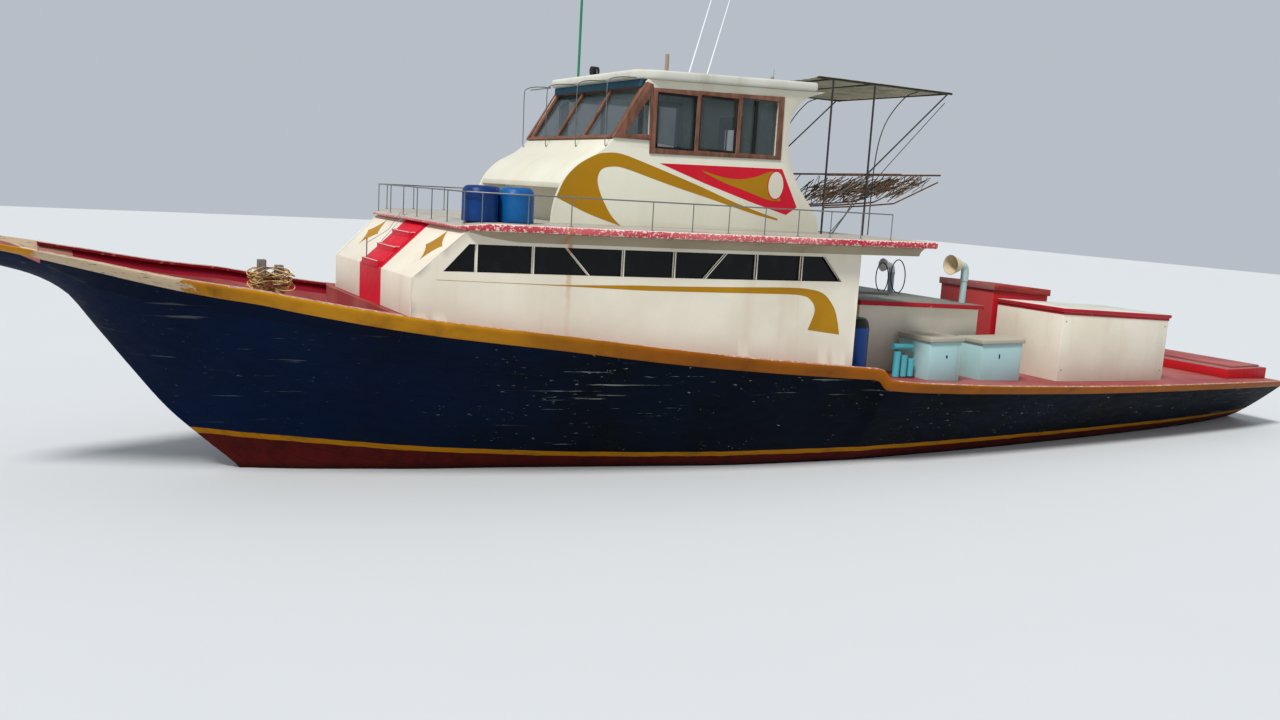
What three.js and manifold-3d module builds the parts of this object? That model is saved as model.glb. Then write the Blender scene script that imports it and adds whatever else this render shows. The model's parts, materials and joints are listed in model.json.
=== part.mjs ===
// Fishing dhoni, a decked wooden fishing boat about 27 m long, afloat.
// Millimetres. +X is the bow, +Y is port, +Z is up, z = 0 is the waterline amidships.
import * as THREE from 'three';
import { mergeVertices } from 'three/addons/utils/BufferGeometryUtils.js';
import Module from 'manifold-3d';

const wasm = await Module();
wasm.setup();

const boat = new THREE.Group();
boat.name = 'fishing_dhoni';

// Seat: the gap left between pieces that rest on each other.
const seat = 0.3;

const paint = {
  navy: [0x15244a, 0.55, 0],
  maroon: [0x7a1f2b, 0.6, 0],
  ochre: [0xc8861e, 0.55, 0],
  cream: [0xe9e6da, 0.6, 0],
  red: [0xa8182a, 0.5, 0],
  gold: [0xc69a1c, 0.5, 0],
  timber: [0x6b4526, 0.7, 0],
  grey: [0xa9a49c, 0.8, 0],
  cyan: [0x9fd0d8, 0.55, 0],
  blueDrum: [0x1f4f9e, 0.45, 0],
  steel: [0x5d6063, 0.45, 0.8],
  bronze: [0xa9803c, 0.35, 1],
  black: [0x15171a, 0.5, 0],
  darkGlass: [0x0b0e12, 0.12, 0],
  clearGlass: [0x9fb4b8, 0.05, 0],
  canvas: [0x8f9c92, 0.9, 0],
  green: [0x2f7a5c, 0.5, 0],
  iron: [0x4a4d50, 0.6, 0.6]
};

function solidOf(geometry) {
  const bare = geometry.clone();
  bare.deleteAttribute('normal');
  bare.deleteAttribute('uv');
  const merged = mergeVertices(bare, 1e-3);
  return new wasm.Manifold(new wasm.Mesh({
    numProp: 3,
    vertProperties: new Float32Array(merged.attributes.position.array),
    triVerts: new Uint32Array(merged.index.array)
  }));
}

function geometryOf(solid) {
  const mesh = solid.getMesh();
  const geometry = new THREE.BufferGeometry();
  geometry.setAttribute('position', new THREE.BufferAttribute(new Float32Array(mesh.vertProperties), 3));
  geometry.setIndex(new THREE.BufferAttribute(new Uint32Array(mesh.triVerts), 1));
  geometry.computeVertexNormals();
  return geometry;
}

function cut(body, ...tools) {
  let solid = solidOf(body);
  for (const tool of tools) {
    solid = solid.subtract(solidOf(tool));
  }
  return geometryOf(solid);
}

function join(...bodies) {
  let solid = solidOf(bodies[0]);
  for (const other of bodies.slice(1)) {
    solid = solid.add(solidOf(other));
  }
  return geometryOf(solid);
}

function add(name, geometry, look) {
  const [color, roughness, metalness] = paint[look];
  const mesh = new THREE.Mesh(geometry, new THREE.MeshStandardMaterial({ color, roughness, metalness }));
  mesh.name = name;
  boat.add(mesh);
}

// A closed skin through rings of equal point count, with both ends capped.
function loft(rings) {
  const count = rings[0].length;
  const points = rings.flat();
  const faces = [];
  for (let i = 0; i + 1 < rings.length; i += 1) {
    for (let j = 0; j < count; j += 1) {
      const k = (j + 1) % count;
      const a = i * count + j;
      const b = i * count + k;
      faces.push([a, b, b + count], [a, b + count, a + count]);
    }
  }
  for (const [ring, start, flip] of [[rings[0], 0, true], [rings.at(-1), points.length - count, false]]) {
    for (const [a, b, c] of capOf(ring)) {
      faces.push(flip ? [start + a, start + c, start + b] : [start + a, start + b, start + c]);
    }
  }
  return closedSkin(points, faces);
}

// The cap is triangulated in the plane that the ring lies nearest to.
function capOf(ring) {
  const normal = [0, 0, 0];
  ring.forEach((point, i) => {
    const next = ring[(i + 1) % ring.length];
    normal[0] += (point[1] - next[1]) * (point[2] + next[2]);
    normal[1] += (point[2] - next[2]) * (point[0] + next[0]);
    normal[2] += (point[0] - next[0]) * (point[1] + next[1]);
  });
  const size = normal.map(Math.abs);
  const drop = size.indexOf(Math.max(...size));
  const flat = ring.map((point) => new THREE.Vector2(point[(drop + 1) % 3], point[(drop + 2) % 3]));
  const faces = THREE.ShapeUtils.triangulateShape(flat, []);
  const area = (list) => THREE.ShapeUtils.area(list);
  const same = area(flat) * area(faces[0].map((i) => flat[i])) > 0;
  return same ? faces : faces.map(([i, j, k]) => [i, k, j]);
}

function closedSkin(points, faces) {
  let volume = 0;
  for (const [a, b, c] of faces) {
    const [p, q, r] = [points[a], points[b], points[c]];
    volume += p[0] * (q[1] * r[2] - q[2] * r[1]) - p[1] * (q[0] * r[2] - q[2] * r[0])
      + p[2] * (q[0] * r[1] - q[1] * r[0]);
  }
  const outward = volume > 0 ? faces : faces.map(([a, b, c]) => [a, c, b]);
  const geometry = new THREE.BufferGeometry();
  geometry.setAttribute('position', new THREE.Float32BufferAttribute(points.flat(), 3));
  geometry.setIndex(outward.flat());
  return geometry;
}

function box(x0, x1, y0, y1, z0, z1) {
  return loft([x0, x1].map((x) => [[x, y0, z0], [x, y1, z0], [x, y1, z1], [x, y0, z1]]));
}

// A side profile in (x, z), carried from y0 to y1.
function sidePlate(profile, y0, y1) {
  return loft([y0, y1].map((y) => profile.map(([x, z]) => [x, y, z])));
}

// A round bar along a path of points.
function bar(path, radius, sides = 8) {
  const points = path.map((point) => new THREE.Vector3(...point));
  let side = new THREE.Vector3(0.3, 0.5, 0.8);
  const rings = points.map((point, i) => {
    const along = new THREE.Vector3();
    if (i > 0) along.add(point.clone().sub(points[i - 1]).normalize());
    if (i + 1 < points.length) along.add(points[i + 1].clone().sub(point).normalize());
    along.normalize();
    side = side.clone().addScaledVector(along, -side.dot(along)).normalize();
    const other = along.clone().cross(side);
    const ring = [];
    for (let k = 0; k < sides; k += 1) {
      const angle = (2 * Math.PI * k) / sides;
      const spot = point.clone();
      spot.addScaledVector(side, radius * Math.cos(angle));
      spot.addScaledVector(other, radius * Math.sin(angle));
      ring.push([spot.x, spot.y, spot.z]);
    }
    return ring;
  });
  return loft(rings);
}

// A turned body about a vertical axis, from (radius, z) pairs.
function turned(x, y, profile, sides = 24) {
  return loft(profile.map(([radius, z]) => {
    const ring = [];
    for (let k = 0; k < sides; k += 1) {
      const angle = (2 * Math.PI * k) / sides;
      ring.push([x + radius * Math.cos(angle), y + radius * Math.sin(angle), z]);
    }
    return ring;
  }));
}

function mirrored(ring) {
  return ring.map(([x, y, z]) => [x, -y, z]);
}

function valueAt(table, x, column) {
  for (let i = 0; i + 1 < table.length; i += 1) {
    const [a, b] = [table[i], table[i + 1]];
    if (x <= b.x || i + 2 === table.length) {
      const part = (x - a.x) / (b.x - a.x);
      return a[column] + (b[column] - a[column]) * part;
    }
  }
  return table[0][column];
}

// More rows between the rows of a table, on a smooth curve through them: each inner slope is the harmonic
// mean of the slopes on its two sides, or level where they differ in sign.
function refined(table, pitch) {
  const names = Object.keys(table[0]).filter((name) => name !== 'x');
  const slopes = {};
  for (const name of names) {
    const rise = table.slice(1).map((b, i) => (b[name] - table[i][name]) / (b.x - table[i].x));
    slopes[name] = table.map((row, i) => {
      const [before, after] = [rise[i - 1] ?? rise[i], rise[i] ?? rise[i - 1]];
      return before * after > 0 ? (2 * before * after) / (before + after) : 0;
    });
  }
  const rows = [];
  table.slice(1).forEach((b, i) => {
    const a = table[i];
    const span = b.x - a.x;
    const count = Math.max(1, Math.round(span / pitch));
    for (let k = 0; k < count; k += 1) {
      const t = k / count;
      const row = { x: a.x + span * t };
      for (const name of names) {
        const [from, to] = [slopes[name][i] * span, slopes[name][i + 1] * span];
        row[name] = a[name] * (1 + 2 * t) * (1 - t) ** 2 + from * t * (1 - t) ** 2
          + b[name] * t * t * (3 - 2 * t) + to * t * t * (t - 1);
      }
      rows.push(row);
    }
  });
  return [...rows, table[table.length - 1]];
}

// A smooth curve through points of a side view.
function flow(points, count) {
  const curve = new THREE.SplineCurve(points.map(([x, z]) => new THREE.Vector2(x, z)));
  return curve.getPoints(count).map(({ x, y }) => [x, y]);
}

// Hull stations from the transom to the prow tip.
// rail and sheer: half-beam and height at the rail; water: half-beam at the waterline;
// keel: height of the planking's bottom; band: height of the rubbing band;
// full: fullness below the water; flare: power of the topside's curve.
const columns = ['x', 'rail', 'sheer', 'water', 'keel', 'band', 'full', 'flare'];
const stations = [
  [-11000, 3050, 1090, 1750, -60, 160, 0.60, 0.85],
  [-9500, 3210, 1140, 2050, -380, 160, 0.60, 0.85],
  [-8000, 3310, 1183, 2230, -690, 160, 0.60, 0.85],
  [-6000, 3390, 1236, 2370, -980, 165, 0.58, 0.85],
  [-4250, 3430, 1290, 2450, -1120, 170, 0.55, 0.85],
  [-1500, 3460, 1405, 2520, -1260, 175, 0.50, 0.85],
  [-370, 3450, 1470, 2520, -1290, 190, 0.50, 0.85],
  [1200, 3405, 1600, 2490, -1300, 200, 0.50, 0.85],
  [1420, 3385, 1790, 2465, -1300, 215, 0.50, 0.85],
  [1780, 3365, 1822, 2420, -1300, 220, 0.50, 0.86],
  [3500, 3260, 1972, 2180, -1300, 235, 0.52, 0.90],
  [5190, 3070, 2135, 1760, -1280, 245, 0.56, 0.95],
  [7110, 2790, 2355, 1260, -1220, 245, 0.64, 1.05],
  [8630, 2480, 2508, 900, -1120, 240, 0.74, 1.20],
  [9200, 2340, 2578, 720, -1040, 236, 0.80, 1.30],
  [10070, 2130, 2704, 450, -800, 225, 0.90, 1.45],
  [10650, 1990, 2800, 230, -430, 215, 1.00, 1.45],
  [11050, 1870, 2870, 0, 50, 205, 1, 1.25],
  [11500, 1720, 2922, 0, 470, 195, 1, 1.15],
  [12000, 1545, 2988, 0, 960, 175, 1, 1.05],
  [12500, 1370, 3072, 0, 1600, 160, 1, 0.95],
  [12930, 1215, 3153, 0, 2180, 145, 1, 0.85],
  [13310, 1070, 3217, 0, 2670, 130, 1, 0.75],
  [13690, 930, 3285, 0, 2890, 115, 1, 0.65],
  [14050, 800, 3340, 0, 3000, 95, 1, 0.60],
  [15000, 420, 3500, 0, 3220, 90, 1, 0.60],
  [15900, 60, 3680, 0, 3480, 85, 1, 0.60]
];
const named = stations.map((row) => Object.fromEntries(columns.map((name, i) => [name, row[i]])));
const lines = refined(named, 700);

// The deck lies a little under the rail. It keeps low to the cabin's after wall where the rail steps up, and
// forward of the cabin it drops inside the bulwark.
const lip = 40;
const sunk = { x0: 1200, x1: 1780, low: 1560, high: 1600 };
const foredeck = 9200;
const foreDrop = [
  { x: foredeck, y: 400 },
  { x: 12500, y: 400 },
  { x: 12930, y: 380 },
  { x: 13310, y: 280 },
  { x: 13690, y: 150 },
  { x: 14050, y: 60 },
  { x: 15000, y: lip },
  { x: 15900, y: lip }
];
function deckOf(s) {
  if (s.x > foredeck) return s.sheer - valueAt(foreDrop, s.x, 'y');
  if (s.x <= sunk.x0 || s.x > sunk.x1) return s.sheer - lip;
  return sunk.low + ((sunk.high - sunk.low) * (s.x - sunk.x0)) / (sunk.x1 - sunk.x0);
}
const step = 3;
const justPast = [sunk.x1, foredeck].map((x) => {
  const s = { x: x + step };
  for (const name of columns.slice(1)) {
    s[name] = valueAt(lines, x, name);
  }
  return s;
});
const hull = [...lines, ...justPast].sort((a, b) => a.x - b.x).map((s) => ({ ...s, deck: deckOf(s) }));
const keelHalf = 90;

// Half-beam of the planking at a height, for one station.
function halfBeam(s, z) {
  const foot = Math.min(keelHalf, s.rail * 0.6);
  if (s.water > 0 && z < 0) {
    const part = (z - s.keel) / (0 - s.keel);
    return foot + (s.water - foot) * part ** s.full;
  }
  const from = s.water > 0 ? s.water : foot;
  const low = s.water > 0 ? 0 : s.keel;
  const part = Math.min(1, Math.max(0, (z - low) / (s.sheer - low)));
  return from + (s.rail - from) * part ** s.flare;
}

function stationAt(x) {
  const s = { x };
  for (const name of [...columns.slice(1), 'deck']) {
    s[name] = valueAt(hull, x, name);
  }
  return s;
}

// The planked hull is solid up to its deck. Grow swells the skin, for cutting what rests on it.
function hullRing(s, grow = 0) {
  const side = [];
  const under = s.water > 0 ? [0, 0.06, 0.2, 0.45, 0.75] : [];
  for (const part of under) {
    const z = s.keel * (1 - part);
    side.push([s.x, halfBeam(s, z) + grow, z]);
  }
  const low = s.water > 0 ? 0 : s.keel;
  const above = s.water > 0 ? [0, 0.25, 0.5, 0.75, 1] : [0, 0.04, 0.1, 0.18, 0.3, 0.44, 0.6, 0.75, 0.88, 1];
  for (const part of above) {
    const z = low + (s.deck - low) * part;
    const top = part === 1;
    side.push([s.x, halfBeam(s, z) + (top ? 3 * grow : grow), top ? z + grow : z]);
  }
  return [...side, ...mirrored(side).reverse()];
}

const well = { x0: -2050, x1: -250, half: 800, floor: -550 };
const wellCut = box(well.x0, well.x1, -well.half, well.half, well.floor, 2600);
const trunk = { x: -9300, stock: 38, bore: 38.8 };
const trunkCut = turned(trunk.x, 0, [[trunk.bore, -900], [trunk.bore, -40]], 24);
add('hull', cut(loft(hull.map((s) => hullRing(s))), wellCut, trunkCut), 'navy');
const swollenHull = loft(hull.map((s) => hullRing(s, seat)));

const deckAt = (x) => valueAt(hull, x, 'deck');

function breaksBetween(x0, x1, extra = []) {
  const inside = [...hull.map((s) => s.x), ...extra].filter((x) => x > x0 + 1 && x < x1 - 1);
  return [x0, ...inside.sort((a, b) => a - b), x1];
}

// Bulwark round the foredeck, on the deck's edge up to the rail.
const bulwark = { x0: 9204, x1: 13600, thick: 70, cap: 190, capThick: 40 };
function bulwarkBody(sign, grow) {
  const rings = breaksBetween(bulwark.x0, bulwark.x1).map((x) => {
    const s = stationAt(x);
    const low = s.deck + seat;
    const mid = s.sheer - bulwark.capThick;
    const outLow = halfBeam(s, low);
    const outTop = halfBeam(s, s.sheer);
    const outMid = halfBeam(s, mid);
    const ring = [
      [x, outLow + grow, low],
      [x, outMid + grow, mid],
      [x, outTop + 3 * grow, s.sheer + grow],
      [x, outTop - bulwark.cap - grow, s.sheer + grow],
      [x, outTop - bulwark.cap - grow, mid],
      [x, outMid - bulwark.thick, mid],
      [x, outLow - bulwark.thick, low]
    ];
    return sign > 0 ? ring : mirrored(ring);
  });
  return loft(rings);
}

// Rubbing band along the sheer, with its step down abaft the cabin.
const bandOut = 55;
function bandBody(sign) {
  const rings = breaksBetween(-10995, 15800).map((x) => {
    const s = stationAt(x);
    const low = s.sheer - s.band;
    const at = (z, out) => Math.max(5, halfBeam(s, z) + out);
    const ring = [
      [x, at(low, -25), low],
      [x, at(low, bandOut * 0.6), low],
      [x, at(low, bandOut), low + s.band * 0.25],
      [x, at(s.sheer, bandOut), s.sheer - s.band * 0.2],
      [x, at(s.sheer, bandOut * 0.6), s.sheer],
      [x, at(s.sheer, -25), s.sheer]
    ];
    return sign > 0 ? ring : mirrored(ring);
  });
  return loft(rings);
}
const sides = [['port', 1], ['starboard', -1]];
for (const [side, sign] of sides) {
  add(`fore_bulwark_${side}`, bulwarkBody(sign, 0), 'maroon');
  add(`rubbing_band_${side}`, cut(bandBody(sign), swollenHull, bulwarkBody(sign, seat)), 'ochre');
}

// Keel below the planking, with a deadwood at its after end and a shoe under the propeller.
const keelEnd = { x: -7700, bottom: -1750, foreBottom: -1480 };
const keelAt = (x) => valueAt(hull, x, 'keel');
const keelTop = hull.filter((s) => s.x > keelEnd.x && s.x < 9500).map((s) => [s.x, s.keel - seat]);
const shoe = { x: -9650, top: -1690, bottom: -1760 };
const keelSide = [
  [keelEnd.x, keelAt(keelEnd.x) - seat],
  ...keelTop,
  [9500, keelAt(9500) - seat],
  [9250, -1350],
  [8500, keelEnd.foreBottom],
  [keelEnd.x, shoe.bottom],
  [shoe.x, shoe.bottom],
  [shoe.x, shoe.top],
  [keelEnd.x, shoe.top]
];
const shaft = { z: -1160, r: 32, tube: 32.8 };
const shaftBore = bar([[-8000, 0, shaft.z], [-7300, 0, shaft.z]], shaft.tube, 24);
add('keel', cut(sidePlate(keelSide, -keelHalf, keelHalf), shaftBore), 'maroon');

// Rudder on the shoe, its stock running up into the hull.
const rudderBlade = sidePlate(
  [
    [-9170, -1670],
    [-9170, -560],
    [-9420, -520],
    [-9980, -640],
    [-10080, -1100],
    [-10020, -1560],
    [-9900, -1670]
  ],
  -22,
  22
);
const stock = turned(trunk.x, 0, [[trunk.stock, -1680], [trunk.stock, -90]], 24);
add('rudder', join(rudderBlade, stock), 'iron');

// Propeller with its shaft in the deadwood.
const propeller = { x: -8150, radius: 430, blades: 4 };
const hub = bar([[-8330, 0, shaft.z], [-8300, 0, shaft.z], [-8000, 0, shaft.z]], 75, 24);
const shaftRod = bar([[-8010, 0, shaft.z], [-7400, 0, shaft.z]], shaft.r, 24);
const blades = [];
for (let i = 0; i < propeller.blades; i += 1) {
  const turn = new THREE.Matrix4().makeRotationX((2 * Math.PI * i) / propeller.blades);
  const rings = [[50, 70, 55], [180, 110, 45], [300, 130, 35], [400, 90, 24], [430, 30, 20]].map(
    ([radius, half, degrees]) => {
      const angle = (degrees * Math.PI) / 180;
      const [u, v] = [half * Math.cos(angle), half * Math.sin(angle)];
      const [tu, tv] = [-9 * Math.sin(angle), 9 * Math.cos(angle)];
      return [[v + tv, u + tu], [-v + tv, -u + tu], [-v - tv, -u - tu], [v - tv, u - tu]].map(
        ([dx, dy]) => [dx, dy, radius]
      );
    }
  );
  const blade = loft(rings).applyMatrix4(turn);
  blades.push(blade.translate(propeller.x, 0, shaft.z));
}
add('propeller', join(hub, shaftRod, ...blades), 'bronze');

// Engine in its well below the casing.
const engine = { x0: -1900, x1: -450, half: 430, high: 420 };
const engineLow = well.floor + seat;
add('engine_block', box(engine.x0, engine.x1, -engine.half, engine.half, engineLow, engine.high), 'iron');

// Main cabin: outer line of the side walls, from the front aft.
const cabin = { front: 9060, aft: 1800, thick: 60, top: 3790, knuckleZ: 3090, brow: 8310 };
const cabinLine = refined([
  { x: 1800, y: 3060 },
  { x: 4200, y: 2890 },
  { x: 6600, y: 2560 },
  { x: 9060, y: 2090 }
], 800);
const cabinY = (x) => valueAt(cabinLine, x, 'y');
const cabinTopAt = (x) => {
  const part = (cabin.front - x) / (cabin.front - cabin.brow);
  return x > cabin.brow ? cabin.knuckleZ + (cabin.top - cabin.knuckleZ) * part : cabin.top;
};
// Window openings in the cabin side: x at the bottom and at the top of each end.
const strip = { low: 3190, high: 3590, bar: 26 };
const windowBars = [
  { low: 8640, high: 8290 },
  { low: 8180, high: 8180 },
  { low: 7370, high: 7370 },
  { low: 6530, high: 6890 },
  { low: 6010, high: 6010 },
  { low: 5190, high: 5190 },
  { low: 4680, high: 4330 },
  { low: 3780, high: 3780 },
  { low: 2940, high: 2940 },
  { low: 2140, high: 2500 }
];
const windowCuts = windowBars.slice(0, -1).map((fore, i) => {
  const aft = windowBars[i + 1];
  const foreGap = i === 0 ? 0 : strip.bar;
  return [
    [fore.low - foreGap, strip.low],
    [aft.low + strip.bar, strip.low],
    [aft.high + strip.bar, strip.high],
    [fore.high - foreGap, strip.high]
  ];
});
const upperEdge = refined([
  { x: 440, y: 3395 },
  { x: 1800, y: 3330 },
  { x: 3200, y: 3240 },
  { x: 5000, y: 3070 },
  { x: 6550, y: 2840 },
  { x: 8000, y: 2560 },
  { x: 8200, y: 2490 },
  { x: 8320, y: 2370 },
  { x: 8390, y: 2230 },
  { x: 8420, y: 2100 }
], 750);
const upperY = (x) => valueAt(upperEdge, x, 'y');

// Coving on the head of the cabin side, a hollow curve up to the edge of the upper deck. It draws in to a
// rounded end forward.
const coving = { x0: 1830, x1: 8290, low: 3640, high: 3788, lip: 12, draw: 690, parts: 5 };
function covingBody(sign) {
  const full = coving.x1 - coving.draw - 60;
  const stops = [...cabinLine, ...upperEdge].map((row) => row.x);
  const inside = stops.filter((x) => x > coving.x0 + 60 && x < full);
  const ends = [1, 0.7, 0.45, 0.25, 0.1, 0.01].map((part) => coving.x1 - coving.draw * part);
  return loft([coving.x0, ...inside.sort((a, b) => a - b), ...ends].map((x) => {
    const nose = Math.sqrt(Math.min(1, (coving.x1 - x) / coving.draw));
    const wall = cabinY(x);
    const reach = (upperY(x) - coving.lip - wall - 6) * nose;
    const rise = (coving.high - coving.low - 16) * nose;
    const ring = [[x, wall - 20, coving.high - rise - 16]];
    for (let k = 0; k <= coving.parts; k += 1) {
      const turn = (Math.PI / 2) * (k / coving.parts);
      ring.push([x, wall + 6 + reach * (1 - Math.cos(turn)), coving.high - 16 - rise * (1 - Math.sin(turn))]);
    }
    ring.push([x, wall + 6 + reach, coving.high], [x, wall - 20, coving.high]);
    return sign > 0 ? ring : mirrored(ring);
  }));
}

for (const [side, sign] of sides) {
  const breaks = [...cabinLine.slice(1, -1).map((row) => row.x), cabin.brow];
  const rings = breaksBetween(cabin.aft, cabin.front, breaks).map((x) => {
    const out = cabinY(x);
    const low = deckAt(x) + seat;
    const high = cabinTopAt(x);
    const ring = [[x, out, low], [x, out, high], [x, out - cabin.thick, high], [x, out - cabin.thick, low]];
    return sign > 0 ? ring : mirrored(ring);
  });
  const openings = windowCuts.map((outline) => sidePlate(outline, sign * 1500, sign * 3500));
  add(`cabin_side_${side}`, cut(join(loft(rings), covingBody(sign)), ...openings), 'cream');
  const glassIn = cabin.thick + 6 + seat;
  const glassEnds = [2100, 8300, 8680];
  const glassXs = [...cabinLine.map((row) => row.x).filter((x) => x > 2200 && x < 8200), ...glassEnds];
  const glassRings = glassXs.sort((a, b) => a - b).map((x) => {
    const out = cabinY(x) - glassIn;
    const high = Math.min(strip.high + 40, cabinTopAt(x) - 60);
    const ring = [[x, out + 6, strip.low - 40], [x, out + 6, high], [x, out, high], [x, out, strip.low - 40]];
    return sign > 0 ? ring : mirrored(ring);
  });
  add(`cabin_glass_${side}`, loft(glassRings), 'darkGlass');
}

// Cabin front: an upright board, a sloped one above it and three steps up the middle.
const frontHalf = cabinY(cabin.front) - cabin.thick - seat;
const browHalf = cabinY(cabin.brow) - cabin.thick - 2;
const frontFoot = deckAt(cabin.front) + 1;
add(
  'cabin_front',
  box(cabin.front - cabin.thick, cabin.front, -frontHalf, frontHalf, frontFoot, cabin.knuckleZ - 3),
  'cream'
);
const slopeRing = [
  [cabin.front - 5, frontHalf, cabin.knuckleZ - 2.6],
  [cabin.brow, browHalf, cabin.top - 4],
  [cabin.brow - 80, browHalf, cabin.top - 4],
  [cabin.front - 85, frontHalf, cabin.knuckleZ - 2.6]
];
add('cabin_brow', loft([slopeRing, mirrored(slopeRing)]), 'cream');

const slopeLength = Math.hypot(cabin.front - 5 - cabin.brow, cabin.top - cabin.knuckleZ);
const slopeAlong = [
  (cabin.brow - cabin.front + 5) / slopeLength,
  (cabin.top - 1.4 - cabin.knuckleZ) / slopeLength
];
const onSlope = (along, out) => [
  cabin.front - 5 + slopeAlong[0] * along + slopeAlong[1] * out,
  cabin.knuckleZ - 2.6 + slopeAlong[1] * along - slopeAlong[0] * out
];
const stepHalf = 420;
const boardHalf = 470;
const stepsAt = [75, 405, 735];
const board = sidePlate(
  [onSlope(20, 1), onSlope(20, 14), onSlope(slopeLength - 30, 14), onSlope(slopeLength - 30, 1)],
  -boardHalf,
  boardHalf
);
const treads = stepsAt.map((along) => {
  const [x, z] = onSlope(along, 8);
  return sidePlate([[x, z], [x + 115, z], [x + 115, z + 55], [x - 52, z + 55]], -stepHalf, stepHalf);
});
add('front_steps', join(board, ...treads), 'red');

// After wall of the cabin with its doorway, and the door leaf on two pins.
const leafGap = 7;
const pin = { r: 8, bore: 8.7, out: 14, tall: 60 };
function doorSet(wall, door, names) {
  const opening = box(wall.x0 - 50, wall.x1 + 50, door.y0, door.y1, door.z0, door.z1);
  const [z0, z1] = [door.z0 + leafGap, door.z1 - leafGap];
  const leaf = box(wall.x0 + 2, wall.x0 + 42, door.y0 + leafGap, door.y1 - leafGap, z0, z1);
  const pane = door.pane;
  const hole = box(wall.x0 - 50, wall.x1 + 50, pane.y0, pane.y1, pane.z0, pane.z1);
  const [px, py] = [wall.x0 - pin.out, door.y1 + 4];
  const knuckles = [];
  const bores = [];
  const straps = [];
  for (const z of [z0 + 200, z1 - 200 - pin.tall]) {
    knuckles.push(box(px - 12, wall.x0 + 5, py - 2, py + 16, z, z + pin.tall));
    knuckles.push(box(px - 12, px + 11, py - 11, py + 16, z, z + pin.tall));
    bores.push(turned(px, py, [[pin.bore, z - 10], [pin.bore, z + pin.tall + 10]], 16));
    straps.push(turned(px, py, [[pin.r, z - 30], [pin.r, z + pin.tall + 8]], 16));
    straps.push(box(px - pin.r, wall.x0 - 4, py - 60, py + 4, z - 30, z - 6));
    straps.push(box(px - pin.r, wall.x0 + 5, py - 60, door.y1 - leafGap, z - 30, z - 6));
  }
  add(names.wall, cut(join(cut(wall.body, opening), ...knuckles), ...bores), wall.look);
  add(names.leaf, join(cut(leaf, hole), ...straps), door.look);
}
const aftHalf = cabinY(cabin.aft) - cabin.thick - 14;
const cabinAftWall = {
  x0: cabin.aft,
  x1: cabin.aft + cabin.thick,
  look: 'cream',
  body: box(cabin.aft, cabin.aft + cabin.thick, -aftHalf, aftHalf, deckAt(cabin.aft + 60) + 1, cabin.top - seat)
};
const cabinPane = { y0: -230, y1: 230, z0: 3000, z1: 3400 };
const cabinDoor = { y0: -400, y1: 400, z0: 1900, z1: 3620, look: 'timber', pane: cabinPane };
doorSet(cabinAftWall, cabinDoor, { wall: 'cabin_aft_wall', leaf: 'cabin_door' });

// Upper deck over the cabin, its edge following the gunwale.
const upper = { under: 3790 + seat, top: 3900 };
const upperRings = upperEdge.map(({ x, y }) => [
  [x, -y, upper.under],
  [x, y, upper.under],
  [x, y, upper.top],
  [x, -y, upper.top]
]);
add('upper_deck', loft(upperRings), 'grey');
const onUpper = upper.top + seat;

// Wheelhouse on the upper deck.
const house = { half: 1650, thick: 55, foot: onUpper, rise: 0.033, top: 6200 };
const riseAt = (x) => house.rise * (5100 - x);
const foreEdge = [
  [6760, house.foot],
  [6750, 4060],
  [6700, 4300],
  [6570, 4590],
  [6350, 4820],
  [6060, 4985],
  [5890, 5105],
  [5760, 5250]
];
const aftEdge = [
  [1690, house.top + riseAt(1690)],
  [2060, 6190],
  [2270, 6010],
  [2390, 5750],
  [2400, 5460],
  [2320, 5080],
  [2140, 4730],
  [1930, 4480],
  [1720, 4240],
  [1625, 4060],
  [1610, house.foot]
];
const houseSide = [...flow(foreEdge, 18), [5200, house.top], ...flow(aftEdge, 24)];
const sideWindow = { x0: 2600, x1: 5080, low: 5070, high: 6080, frame: 62, bar: 50 };
const quarter = [[5590, 5330], [5250, 5330], [5250, 5910]];
for (const [side, sign] of sides) {
  const [y0, y1] = sign > 0 ? [house.half - house.thick, house.half] : [-house.half, -house.half + house.thick];
  const hole = (outline) => sidePlate(outline, y0 - 80, y1 + 80);
  const paneWidth = (sideWindow.x1 - sideWindow.x0 - 2 * sideWindow.frame - 2 * sideWindow.bar) / 3;
  const panes = [0, 1, 2].map((i) => {
    const x0 = sideWindow.x0 + sideWindow.frame + i * (paneWidth + sideWindow.bar);
    const low = sideWindow.low + sideWindow.frame + riseAt(x0) * 0.6;
    const high = sideWindow.high - sideWindow.frame + riseAt(x0 + paneWidth);
    return hole([[x0, low], [x0 + paneWidth, low], [x0 + paneWidth, high], [x0, high]]);
  });
  add(`wheelhouse_side_${side}`, cut(sidePlate(houseSide, y0, y1), hole(quarter), ...panes), 'cream');
  const inner = sign > 0 ? y0 - 6 - seat : y1 + seat;
  const glass = [
    [2500, 5020],
    [5640, 5290],
    [5240, 5980],
    [5150, 6130],
    [2560, 6180]
  ];
  add(`wheelhouse_glass_${side}`, sidePlate(glass, inner, inner + 6), 'clearGlass');
}

const innerHalf = house.half - house.thick - seat;
const shellFace = [[6620, 4520], [6520, 4650], [6330, 4830], [6060, 4975], [5890, 5100], [5790, 5240]];
const shellBack = [[5735, 5205], [5840, 5055], [6010, 4925], [6280, 4780], [6440, 4620], [6520, 4500]];
const frontShell = [
  [6150, house.foot],
  [6200, house.foot],
  [6200, 4440],
  [6620, 4440],
  ...flow(shellFace, 10),
  ...flow(shellBack, 10),
  [6150, 4500]
];
add('wheelhouse_front', sidePlate(frontShell, -innerHalf, innerHalf), 'cream');

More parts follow.
